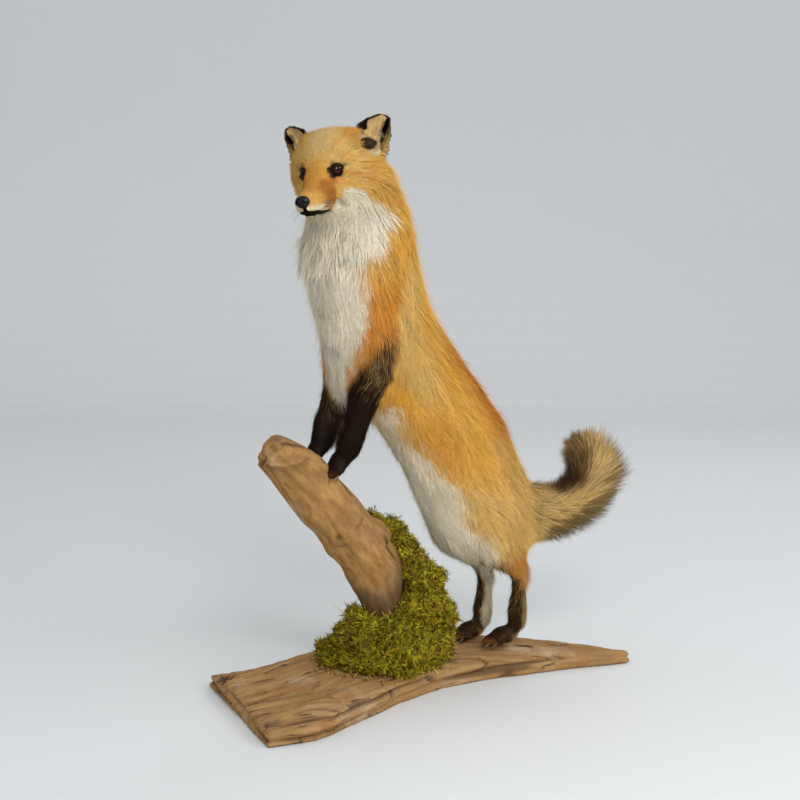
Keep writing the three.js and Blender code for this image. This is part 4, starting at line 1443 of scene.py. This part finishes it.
CLAWS = [(15, 12), (21, 4.4), (21, -4.4), (15, -12)]  # ahead and left of the paw's centre
PAWS = [(line.points[FOOT], CHEST_BEARING, 34, 1.0) for line in LEGS[:2]]  # centre, bearing, slope, size
PAWS += [(line.points[FOOT], HIP_BEARING, 4, 1.05) for line in LEGS[2:]]


def horn_material():
    material, build, shader = new_material("Claw horn", 0.15)
    tint = build.mix(build.span(build.noise(build.place(), 180.0), 0.3, 0.7), tone("7A6448"), tone("362619"))
    build.join(shader, {"Base Color": tint, "Roughness": 0.6})
    return material


def make_claws():
    """Sixteen curved claws, each a cone bent down to its point."""
    whole = bmesh.new()
    for centre, bearing, slope, size in PAWS:
        turn = axes_of(bearing + PAW_TURN) @ tilted(slope, "Y")
        for ahead, left in CLAWS:
            bm = bmesh.new()
            bmesh.ops.create_cone(bm, cap_ends=True, segments=10, radius1=1.6, radius2=0.2, depth=8)
            lengthwise = [e for e in bm.edges if abs(e.verts[0].co.z - e.verts[1].co.z) > 1]
            bmesh.ops.subdivide_edges(bm, edges=lengthwise, cuts=4)
            for v in bm.verts:
                along, x, y = v.co.z, v.co.x * 0.8, v.co.y
                drop = 0.30 * along + 0.03 * (along + 4) ** 2
                place = np.array([ahead + 12.2 + along * 0.92, left * 1.05 + x, -5.0 - drop + y]) * size
                v.co = (turn @ place + centre) * MM
            bmesh.ops.recalc_face_normals(bm, faces=bm.faces)
            mesh = made(bm, "claw")
            whole.from_mesh(mesh)
            bpy.data.meshes.remove(mesh)
    return made(whole, "claws")


def make_whiskers(coat):
    """Stiff hairs of the lips and brows, in curved tapering rods."""
    rng = np.random.default_rng(31)
    roots, ways, reach = [], [], []
    for _, side in SIDES:
        for row in range(4):
            for k in range(5):
                ahead = 96 - 5.5 * k - 1.5 * row + rng.uniform(-1, 1)
                roots.append([ahead, side * (10.5 + 0.12 * (96 - ahead)), -34 - 3.0 * row + 0.4 * k])
                back, down = rng.uniform(-0.1, 0.1), rng.uniform(-0.08, 0.08)
                ways.append([-0.45 - 0.1 * k + back, side * 0.85, -0.12 - 0.14 * row + down])
                reach.append(rng.uniform(22, 34) + 3 * k)
        for k in range(3):
            roots.append([40 - 3 * k, side * (22 + k), 17])
            ways.append([-0.5, side * 0.35, 0.75])
            reach.append(rng.uniform(12, 18))
    root = np.array(roots, float) @ HEAD_TURN.T + HEAD_CENTRE
    flow = unit(np.array(ways, float)) @ HEAD_TURN.T
    normal = unit(np.cross(np.cross(flow, [0, 0, 1.0]), flow))
    count = len(root)
    dark = rng.random(count) < 0.6
    hue = np.where(dark[:, None], np.array(coat.sable), np.array(coat.cream))
    rods = dict(root=root, normal=normal, flow=flow, reach=np.array(reach), width=np.full(count, 0.42))
    rods |= dict(lift=np.zeros(count), bend=np.full(count, 0.5), base=hue, tip=hue)
    rods |= dict(strand=rng.random(count), chart=np.full((count, 2), 0.5))
    return spindles("whiskers", 0.3, rods, girths=(1.0, 0.72), marks=(0.0, 0.28, 0.66, 1.0))


# ---- Driftwood -----------------------------------------------------------------------------

BRANCH = np.array([(-178, -197, 356), (-146, -179, 327), (-117, -165, 293), (-84, -146, 251),
                   (-60, -128, 214), (-34, -110, 174), (-22, -98, 128), (-20, -90, 80),
                   (-22, -88, 26)], float)  # fmt: skip
STUMP = np.array([(50, -52, 20), (50, -54, 60), (44, -58, 108), (38, -62, 152)], float)
SLAB = np.array([(-212, -215, 18), (-143, -191, 18), (-84, -121, 18), (11, -51, 18), (97, -12, 18),
                 (210, 17, 18), (328, 24, 18)], float)  # fmt: skip
# Each as how far along the branch, how far round in radians, size, and height where it differs.
KNOTS = ((70, -1.0, 7), (158, 0.6, 8), (232, -1.9, 8), (118, 2.4, 7))
BROKEN_LIMBS = ((206, -1.15, 24, 9.0), (150, -0.5, 20, 3.5))
DENTS = ((88, 0.8, -2.5), (112, 0.95, 3.2), (146, 1.25, -3.8), (182, 1.45, 3.0), (214, 1.5, -2.5))
# Each break in the slab's top: how far to the side, its swing, its seed and its drop.
TERRACES = ((24, 16, 72, 3.4), (-22, 20, 73, 2.6), (52, 14, 74, 3.0))


def straightened(places, line, left):
    """Places in the wood's own axes: sideways, up and along its centre line, all in millimetres."""
    best, found, travelled = np.full(len(places), np.inf), np.zeros((len(places), 3)), 0.0
    for i, (start, end) in enumerate(zip(line, line[1:])):
        travel = end - start
        size = size_of(travel)
        s = (places - start) @ travel / size**2
        s = np.clip(s, 0 if i else -np.inf, 1 if i < len(line) - 2 else np.inf)
        off = places - start - s[:, None] * travel
        way = travel / size
        side = unit(left - way * dot(left, way))
        gap = size_of(off)
        closer = gap < best
        best[closer] = gap[closer]
        found[closer] = np.stack([off @ side, off @ np.cross(way, side), travelled + s * size], 1)[closer]
        travelled += size
    return found


def wood_group():
    """Weathered wood in a piece's own straightened axes: long grain, stains, dark cracks and fibre height."""
    name = "Driftwood grain"
    if name in bpy.data.node_groups:
        return bpy.data.node_groups[name]
    build, given, out = group(
        name,
        {"Place": "Vector", "Crack": "Float", "Wood": "Color", "Grain": "Color", "Crack colour": "Color",
         "Stretch": "Float", "Stain": "Float", "Split": "Float"},
        {"Color": "Color", "Roughness": "Float", "Height": "Float"},
    )  # fmt: skip
    squeeze = build.add("ShaderNodeCombineXYZ", {0: 1.0, 1: 1.0, 2: given["Stretch"]})[0]
    warp = build.vector("SCALE", build.noise(given["Place"], 14.0, 2, 0.5, "Color"), "Scale", 0.016)
    bent = build.vector("ADD", given["Place"], 1, warp)
    long = build.vector("MULTIPLY", bent, 1, squeeze)
    bands = build.noise(long, 95.0, 5, 0.6)
    fibre = build.noise(long, 520.0, 3, 0.6)
    blot = build.noise(given["Place"], 15.0, 4, 0.6)
    wood = build.mix(build.times(build.span(bands, 0.36, 0.68), 0.8), given["Wood"], given["Grain"])
    wood = build.mix(build.times(build.span(fibre, 0.5, 0.75), 0.4), wood, (0.16, 0.09, 0.04))
    wood = build.mix(build.times(build.span(blot, 0.52, 0.74), given["Stain"]), wood, (0.19, 0.115, 0.055))
    wood = build.mix(build.times(build.span(blot, 0.46, 0.3), 0.35), wood, (0.62, 0.49, 0.33))
    line = build.math("ABSOLUTE", build.math("SUBTRACT", build.noise(long, 34.0, 4), 0.5))
    where = build.times(build.span(build.noise(bent, 26.0, 2), 0.48, 0.60), given["Split"])
    # The given crack share also carries painted shade and shadow lines from the shapes.
    dark = build.math("MAXIMUM", given["Crack"], build.times(build.span(line, 0.013, 0.004), where))
    height = build.math("ADD", build.times(fibre, 0.5), bands)
    build.join(out, {
        "Color": build.mix(build.times(dark, 0.88), wood, given["Crack colour"]),
        "Roughness": build.span(bands, 0.2, 0.8, 0.72, 0.9),
        "Height": build.math("SUBTRACT", height, build.times(build.span(line, 0.03, 0.0), where)),
    })  # fmt: skip
    return build.tree


def wood_material(name, wood, grain, crack, depth, **values):
    material, build, shader = new_material(name, 0.12)
    look = build.add("ShaderNodeGroup", {
        "Place": build.attribute("grain", "Vector"), "Crack": build.attribute("crack"),
        "Wood": wood, "Grain": grain, "Crack colour": crack, **values,
    }, node_tree=wood_group())  # fmt: skip
    grooves = build.bump(look["Height"], 0.7, depth)
    build.join(shader, {"Base Color": look["Color"], "Roughness": look["Roughness"], "Normal": grooves})
    return material


def carve_wood(node, line, left, cell, seed, ridge, crack_depth, crack_share, shape=None):
    """A CAD wood node with grain ridges, cracks and worn places cut into its surface."""
    mesh = remeshed(solid_copy([node], 0), cell * MM)
    places, corners = arrays(mesh)
    places = relax(places, corners, 5)
    normals = normals_of(places, corners)
    own = straightened(places, line, np.array(left))
    places, dark = shape(places, normals, own) if shape else (places, 0)
    ridges = waves(own, (9, 9, 130), seed) * 0.6 + waves(own, (4.5, 4.5, 70), seed + 1) * 0.4
    split = abs(waves(own, (60, 60, 420), seed + 2, 7))
    where = step(1 - crack_share, 1.3 - crack_share, waves(own, (50, 50, 110), seed + 3) * 0.5 + 0.5)
    crack = step(0.22, 0.02, split) * where
    settled = step(0.5, 4, places[:, 2])
    places = places + normals * ((ridge * ridges - crack_depth * crack) * settled)[:, None]
    places[:, 2] = np.maximum(places[:, 2], 0)
    put(mesh, places)
    attribute(mesh, "grain", "FLOAT_VECTOR", own * MM)
    # The crack share also holds the shapes' dark marks, painted shade and painted shadow lines among them.
    attribute(mesh, "crack", "FLOAT", np.clip(0.8 * crack + dark, 0, 1))
    return mesh


def gap_round(own, at, turn, radius, squeeze=1.0):
    """Distance over the wood's surface from a spot so far along and so far round."""
    side, up, along = own.T
    angle = np.arctan2(up, side) - turn
    return np.hypot(np.arctan2(np.sin(angle), np.cos(angle)) * radius, (along - at) * squeeze)


def branch_shape(places, normals, own):
    """Worn rounded end, broad dents, knots, the lip of a broken limb and the dark foot, with painted shade at
    the lip's edge, under the end's rim and on the left side of the upper branch.
    """
    along = own[:, 2]
    broad = waves(own, (60, 60, 120), 61)
    facets = abs(waves(own, (34, 34, 160), 62, 6))
    places = places + normals * (1.8 * broad - 2.2 * step(0.9, 0.0, facets))[:, None]
    dark = 0.18 * step(0.5, 0.0, facets)
    for at, turn, size in KNOTS:
        gap = gap_round(own, at, turn, 36, 0.75)
        rise = 2.4 * step(size * 1.8, size, gap) - 3.4 * step(size * 0.7, 0, gap)
        places = places + normals * rise[:, None]
        dark = np.maximum(dark, 0.6 * step(size * 0.7, size * 0.15, gap))
    for at, turn, size, rise in BROKEN_LIMBS:
        gap = gap_round(own, at, turn, 34, 0.8)
        places = places + normals * (rise * step(size, size * 0.35, gap) * (along < at + 12))[:, None]
        # Painted shade at the edge where the broken limb's lip drops back.
        dark = np.maximum(dark, 0.5 * step(5, 0, abs(along - at - 12)) * step(size, size * 0.5, gap))
    for at, turn, rise in DENTS:
        places = places + normals * (rise * step(17, 3, gap_round(own, at, turn, 30)))[:, None]

    # The upper end: its worn face below a rim, with the rings of the cut.
    x, _, z = places.T
    rim = z - np.interp(x, [-177, -167, -146, -129, -116], [337, 331, 329.5, 334, 341])
    end = step(0.1, -0.3, normals[:, 1] - 0.4 * normals[:, 2]) * step(-112, -122, x)
    places = places - normals * (1.6 * end * step(0, 3, rim))[:, None]
    rings = 0.14 * step(0.2, 0.9, np.cos(np.hypot((x + 158) / 26, (z - 350) / 17) * 15)) * step(0, 3, rim)
    foot = np.maximum(0.22 * step(205, 250, along + 14 * broad), 0.8 * step(246, 288, along + 10 * broad))
    dark = np.maximum.reduce([
        dark * (1 - 0.8 * end * step(-2, 2, rim)),
        end * np.maximum(0.55 * step(2.6, 0.6, abs(rim + 0.6)), rings),
        # Painted shadow in a band under the end's rim.
        0.45 * end * step(-20, -2, rim) * step(1, -1, rim),
        # Painted shade on the left-facing side of the upper branch.
        0.3 * step(0.5, 1.6, -normals[:, 0] + 0.5 * broad) * step(120, 20, along),
        foot,
    ])  # fmt: skip
    return places, dark


def slab_shape(places, normals, own):
    """Split layers along the edges, broken terraces on top and a rotted hole at the broad corner, with
    painted shadow lines at the terraces' edges and painted shade in the hole.
    """
    side, _, along = own.T
    lengthwise = np.stack([along, 0 * along, 0 * along], 1)
    edge = step(0.75, 0.35, abs(normals[:, 2]))
    layers = waves(places, (190, 190, 9), 71, 7)
    solid = step(0.5, 5, places[:, 2])
    places = places + normals * (edge * 2.4 * layers * solid)[:, None]
    dark = 0.7 * edge * step(-0.5, -1.1, layers)
    top = step(0.4, 0.8, normals[:, 2]) * solid
    for level, swing, seed, drop in TERRACES:
        gap = side - (level + swing * waves(lengthwise, 190, seed, 5))
        span = step(-0.4, 0.5, waves(lengthwise, 260, seed + 10, 4))
        places[:, 2] -= drop * top * step(-2.0, 2.0, gap) * step(60, 6, gap) * span
        # Painted shadow line along each terrace's edge.
        dark = np.maximum(dark, 0.6 * top * step(3.2, 0.4, abs(gap)) * span)
    hole = size_of((places - [-238, -118, 24]) / [15, 19, 18]) * (1 + 0.25 * waves(places, 12, 75))
    places = places - normals * (9 * step(1.2, 0.3, hole) * solid)[:, None]
    # The hole is darkened as painted shade in its depth.
    return places, np.maximum(dark, 0.95 * step(1.2, 0.7, hole))


# ---- Moss ----------------------------------------------------------------------------------

MOSS = ["moss_mound", "moss_bank"]
MOSS_FILL = [
    ((-62, -114, 112), 17), ((-44, -132, 92), 22), ((-12, -134, 92), 22), ((8, -120, 104), 24),
    ((40, -92, 112), 27), ((54, -84, 100), 24), ((22, -112, 120), 22), ((-66, -122, 84), 26),
    ((2, -104, 190), 16), ((28, -106, 150), 18),
]  # fmt: skip
MOSS_CELL = 0.0034
MOSS_FLOOR = 30  # height above which sprigs grow on the bed
MOUND_FOOT, MOUND_REACH = np.array([-16, -108, 36.5]), (92, 62)
STRAYS = 420


def moss_material(settings, name, shaded):
    material, build, shader = new_material(name, 0.08)
    flecks = build.noise(build.place(), 420.0, 3)
    shade = build.span(flecks, 0.38, 0.68, 0.0, 0.45)
    tint = build.mix(shade, build.attribute("hue", "Color"), settings.deep)
    if shaded:
        tint = build.mix(0.45, tint, settings.bed)
    rough = build.span(flecks, 0.2, 0.8, 0.7, 0.95)
    build.join(shader, {"Base Color": tint, "Roughness": rough, "Normal": build.bump(flecks, 0.6, 0.001)})
    return material


def moss_tint(places, settings):
    clump, broad = waves(places, 11, 81), waves(places, 45, 82)
    hue = mix(np.array(settings.green), settings.young, step(-0.4, 1.5, clump))
    hue = mix(hue, settings.deep, 0.6 * step(0.1, 1.6, -clump))
    hue = mix(hue, settings.dead, 0.6 * step(0.8, 1.5, waves(places, 18, 83) + 0.5 * broad))
    return np.clip(hue * (1 + 0.22 * step(0, 40, places[:, 0]))[:, None], 0, 1)


def make_moss_bed(settings):
    mesh = largest(remeshed(solid_copy(MOSS, 1.0, MOSS_FILL), MOSS_CELL))
    places, corners = arrays(mesh)
    places = relax(places, corners, 12)
    lumps = waves(places, 34, 84) * 3.0 + waves(places, 14, 85) * 2.2 + waves(places, 7, 86)
    rise = (lumps - 5.0)[:, None] * step(0, 8, places[:, 2])[:, None]
    places = places + normals_of(places, corners) * rise
    put(mesh, places)
    paint_mesh(mesh, moss_tint(places, settings))
    return mesh, places, corners


def stray_spots(rng, scarce):
    """Spots on the slab round the mound's foot."""
    count = int(STRAYS / scarce)
    turn, far = rng.uniform(0, 2 * np.pi, count), rng.exponential(0.06, count)
    ring = np.stack([np.cos(turn) * MOUND_REACH[0], np.sin(turn) * MOUND_REACH[1], 0 * turn], 1)
    slab = frame["nodes"]["base_slab"].data
    tree = BVHTree.FromPolygons([v.co for v in slab.vertices], [p.vertices for p in slab.polygons])
    above = MOUND_FOOT + ring * (1.0 + far)[:, None]
    under = [tree.ray_cast((x * MM, y * MM, 0.2), (0, 0, -1))[0] for x, y, _ in above]
    return np.array([tuple(place) for place in under if place is not None]) / MM


def grow_sprigs(settings, places, corners):
    """Sprigs on the bed, with a few that stray down over the slab, low ones and high ones apart."""
    scarce = 1
    rng = np.random.default_rng(91)
    density = np.full(len(corners), settings.per_cm2 / 100 / scarce)
    which, shares = scatter(places, corners, density, rng)
    root = blend_at(places, corners, which, shares)
    normal = unit(blend_at(normals_of(places, corners), corners, which, shares))
    keep = (root[:, 2] > MOSS_FLOOR) & ((normal[:, 1] < 0.6) | (rng.random(len(root)) < 0.35))
    strays = stray_spots(rng, scarce)
    root = np.concatenate([root[keep], strays])
    normal = np.concatenate([normal[keep], np.tile([0, 0, 1.0], (len(strays), 1))])
    count = len(root)
    lean = unit(normal + 0.95 * rng.normal(size=(count, 3)) + np.array([0, 0, 0.15]))
    side = unit(np.cross(lean, rng.normal(size=(count, 3))))
    long = np.where(rng.random(count) < 0.06, 1.7, 1.0)
    reach = settings.sprig / MM * rng.uniform(0.6, 1.3, count) * (1 + 0.3 * waves(root, 9, 92)) * long
    hue = moss_tint(root, settings) * rng.uniform(0.6, 1.3, (count, 1))
    specks = rng.random(count) < 0.09
    hue[specks] = np.array(settings.dead) * rng.uniform(0.6, 1.6, (specks.sum(), 1))
    width = rng.uniform(0.9, 1.9, count) * (1.7 if scarce > 1 else 1)
    sprigs = dict(root=root, normal=side, flow=lean, reach=reach, width=width, lift=np.zeros(count))
    sprigs |= dict(bend=0.9 * rng.normal(size=count), strand=rng.random(count))
    sprigs |= dict(chart=rng.random((count, 2)) * 0.99)
    tip = mix(hue, settings.young, 0.45 * ~specks)
    # Painted shade: each sprig is darker at its root, deep in the moss.
    sprigs |= dict(base=np.clip(hue * 0.7, 0, 1), tip=np.clip(tip, 0, 1))
    low = root[:, 2] < np.median(root[:, 2])
    for label, mine in (("mound", low), ("bank", ~low)):
        name = f"moss_sprigs_{label}"
        yield name, spindles(name, 0.4, {key: values[mine] for key, values in sprigs.items()})


def grow_moss(context):
    settings = context.scene.fox_moss
    mesh, places, corners = make_moss_bed(settings)
    shown("moss_bed", mesh, moss_material(settings, "Moss bed", True), *MOSS, slot="moss")
    finish = moss_material(settings, "Moss sprig", False)
    for name, mesh in grow_sprigs(settings, places, corners):
        shown(name, mesh, finish, slot="moss")


# ---- Stage ---------------------------------------------------------------------------------

FLOOR_WIDTH, FLOOR_FRONT, FLOOR_BACK = 6.0, -5.0, 2.2
BACKDROP_BEND, BACKDROP_RISE = 0.9, 4.5
AIM = Vector((0, -0.1, 0.4))
CAMERA_PLACE, CAMERA_DIP, CAMERA_LENS, SENSOR = (0, -2.4, 0.744), 8.49, 78.1, 36


def make_floor():
    """A floor that bends up into a backdrop."""
    bm = bmesh.new()
    front = [bm.verts.new((x, FLOOR_FRONT, 0)) for x in (-FLOOR_WIDTH, FLOOR_WIDTH)]
    rim = [bm.edges.new(front)]

    def pull(edges, move):
        grown = bmesh.ops.extrude_edge_only(bm, edges=edges)["geom"]
        bmesh.ops.translate(bm, verts=[g for g in grown if isinstance(g, bmesh.types.BMVert)], vec=move)
        return [g for g in grown if isinstance(g, bmesh.types.BMEdge)]

    rim = pull(rim, (0, FLOOR_BACK - FLOOR_FRONT, 0))
    turned = bmesh.ops.spin(
        bm, geom=rim, cent=(0, FLOOR_BACK, BACKDROP_BEND), axis=(1, 0, 0), angle=math.radians(90), steps=16,
        use_merge=False,
    )["geom_last"]  # fmt: skip
    pull([g for g in turned if isinstance(g, bmesh.types.BMEdge)], (0, 0, BACKDROP_RISE))
    bmesh.ops.recalc_face_normals(bm, faces=bm.faces)
    return made(bm, "floor")


def make_world(settings):
    """Soft sky light, and a plain pale background where the camera sees it."""
    world = bpy.data.worlds.new("Sky")
    world.use_nodes = True
    build = Tree(world.node_tree)
    sky = world.node_tree.nodes["Background"]
    build.join(sky, {"Color": (0.95, 0.97, 1.0), "Strength": settings.world})
    pale = build.add("ShaderNodeBackground", {"Color": settings.backdrop, "Strength": 1.0})[0]
    seen = build.add("ShaderNodeLightPath", {})["Is Camera Ray"]
    swap = build.add("ShaderNodeMixShader", {0: seen, 1: sky.outputs[0], 2: pale})[0]
    build.join(world.node_tree.nodes["World Output"], {0: swap})
    return world


def place_lamps(scene, settings):
    """Soft lamps. The catch lamps show only as reflections in the eyes and the nose."""
    for name, place, size, power in (
        ("key", (0.45, -2.3, 1.8), 0.8, settings.key_power),
        ("catch", (0.41, -2.24, 1.86), 0.34, settings.key_power * 4.6),
        ("catch", (1.95, -0.77, 1.85), 0.34, settings.key_power * 3.8),
        ("fill", (1.8, -1.6, 1.2), 1.6, settings.fill_power),
        ("rim", (0.9, 1.6, 2.0), 1.2, settings.fill_power * 0.5),
    ):
        lamp = bpy.data.lights.new(name, "AREA")
        lamp.energy, lamp.size = power, size
        holder = bpy.data.objects.new(name, lamp)
        holder.location = place
        holder.visible_glossy = name == "catch"
        holder.visible_diffuse = name != "catch"
        holder.rotation_euler = (AIM - Vector(place)).to_track_quat("-Z", "Y").to_euler()
        scene.collection.objects.link(holder)


def make_stage(context):
    scene, settings = context.scene, context.scene.fox_stage
    material, build, shader = new_material("Floor", 0.5)
    build.join(shader, {"Base Color": settings.floor, "Roughness": 0.9})
    floor = bpy.data.objects.new("floor", make_floor())
    floor.data.materials.append(material)
    scene.collection.objects.link(floor)
    scene.world = make_world(settings)
    place_lamps(scene, settings)
    camera = bpy.data.cameras.new("camera")
    camera.lens, camera.sensor_width = CAMERA_LENS, SENSOR
    holder = bpy.data.objects.new("camera", camera)
    holder.location = CAMERA_PLACE
    holder.rotation_euler = (math.radians(90 - CAMERA_DIP), 0, 0)
    scene.collection.objects.link(holder)
    scene.camera = holder
    scene.view_settings.view_transform = "Standard"


# ---- Operators -----------------------------------------------------------------------------


class FOX_OT_stage(bpy.types.Operator):
    """Makes the floor, lamps, sky and camera"""

    bl_idname = "fox.stage"
    bl_label = "Stage"

    def execute(self, context):
        make_stage(context)
        return {"FINISHED"}


class FOX_OT_hide(bpy.types.Operator):
    """Makes the one skin that replaces the solids of the fox"""

    bl_idname = "fox.hide"
    bl_label = "Hide"

    def execute(self, context):
        skin = build_hide(context)
        shown("hide", skin["mesh"], hide_material(), *FLESH, slot="coat_ochre")
        print("hide", len(skin["corners"]))
        return {"FINISHED"}


class FOX_OT_coat(bpy.types.Operator):
    """Grows the coat in tufts over the hide, one piece for each part of the body"""

    bl_idname = "fox.coat"
    bl_label = "Coat"

    def execute(self, context):
        grow_coat(context)
        return {"FINISHED"}


class FOX_OT_face(bpy.types.Operator):
    """Makes the glass eyes, the nose pad and the whiskers"""

    bl_idname = "fox.face"
    bl_label = "Eyes, nose and whiskers"

    def execute(self, context):
        coat, settings = context.scene.fox_coat, context.scene.fox_eye
        glass = glass_material(settings)
        for label, side in SIDES:
            shown(f"eyeball_{label}", make_eye(side), glass, f"eye_{label}", slot="eye_glass")
        shown("nose_pad", make_nose(), leather_material(settings), "nose", slot="nose_leather")
        shown("whiskers", make_whiskers(coat), hair_material("Whisker", 0.0, 0.1), slot="coat_stocking")
        return {"FINISHED"}


class FOX_OT_claws(bpy.types.Operator):
    """Makes the sixteen claws"""

    bl_idname = "fox.claws"
    bl_label = "Claws"

    def execute(self, context):
        shown("claws", make_claws(), horn_material(), slot="coat_stocking")
        return {"FINISHED"}


class FOX_OT_wood(bpy.types.Operator):
    """Makes the branch, its side stump and the slab in weathered wood"""

    bl_idname = "fox.wood"
    bl_label = "Driftwood"

    def execute(self, context):
        wood = context.scene.fox_wood
        smooth, bark, layered = (
            wood_material(name, *hues, wood.crack, depth, Stretch=stretch, Stain=stain, Split=split)
            for name, hues, depth, stretch, stain, split in (
                ("Driftwood", (wood.branch, wood.branch_dark), 0.0008, 0.42, 0.95, 0.22),
                ("Stump wood", (wood.slab_dark, wood.stump_dark), 0.0012, 0.07, 0.8, 1.0),
                ("Slab wood", (wood.slab, wood.slab_dark), 0.0018, 0.05, 0.5, 1.0),
            )
        )
        branch = carve_wood("branch", BRANCH, (0.4, -0.9, 0), 2.2, 51, 0.3, 1.2, 0.10, branch_shape)
        stump = carve_wood("stump", STUMP, (0.4, -0.9, 0), 2.2, 55, 0.6, 2.4, 0.4)
        slab = carve_wood("base_slab", SLAB, (0, -1, 0), 2.8, 65, 0.8, 3.0, 0.35, slab_shape)
        shown("driftwood_branch", branch, smooth, "branch", slot="driftwood")
        shown("driftwood_stump", stump, bark, "stump", slot="driftwood")
        shown("slab", slab, layered, "base_slab", slot="slab_wood")
        return {"FINISHED"}


class FOX_OT_moss(bpy.types.Operator):
    """Grows moss in sprigs over a lumpy bed"""

    bl_idname = "fox.moss"
    bl_label = "Moss"

    def execute(self, context):
        grow_moss(context)
        return {"FINISHED"}


class FOX_PT_panel(bpy.types.Panel):
    """Lists the pieces of the fox mount"""

    bl_idname = "FOX_PT_panel"
    bl_label = "Fox mount"
    bl_space_type = "VIEW_3D"
    bl_region_type = "UI"
    bl_category = "Fox"

    def draw(self, context):
        for operator in OPERATORS:
            self.layout.operator(operator.bl_idname)
        for label in SETTINGS:
            settings = getattr(context.scene, label)
            for key in settings.bl_rna.properties.keys():
                if key not in ("rna_type", "name"):
                    self.layout.prop(settings, key)


SETTINGS = {
    "fox_coat": FoxCoatSettings,
    "fox_eye": FoxEyeSettings,
    "fox_wood": FoxWoodSettings,
    "fox_moss": FoxMossSettings,
    "fox_stage": FoxStageSettings,
}
OPERATORS = [FOX_OT_stage, FOX_OT_hide, FOX_OT_coat, FOX_OT_face, FOX_OT_claws, FOX_OT_wood, FOX_OT_moss]


def register():
    for kind in (*SETTINGS.values(), *OPERATORS, FOX_PT_panel):
        bpy.utils.register_class(kind)
    for label, kind in SETTINGS.items():
        setattr(bpy.types.Scene, label, bpy.props.PointerProperty(type=kind))


def unregister():
    for label in SETTINGS:
        delattr(bpy.types.Scene, label)
    for kind in reversed((*SETTINGS.values(), *OPERATORS, FOX_PT_panel)):
        bpy.utils.unregister_class(kind)


def main():
    register()
    for operator in OPERATORS:
        head, tail = operator.bl_idname.split(".")
        getattr(getattr(bpy.ops, head), tail)()


if __name__ == "__main__":
    main()
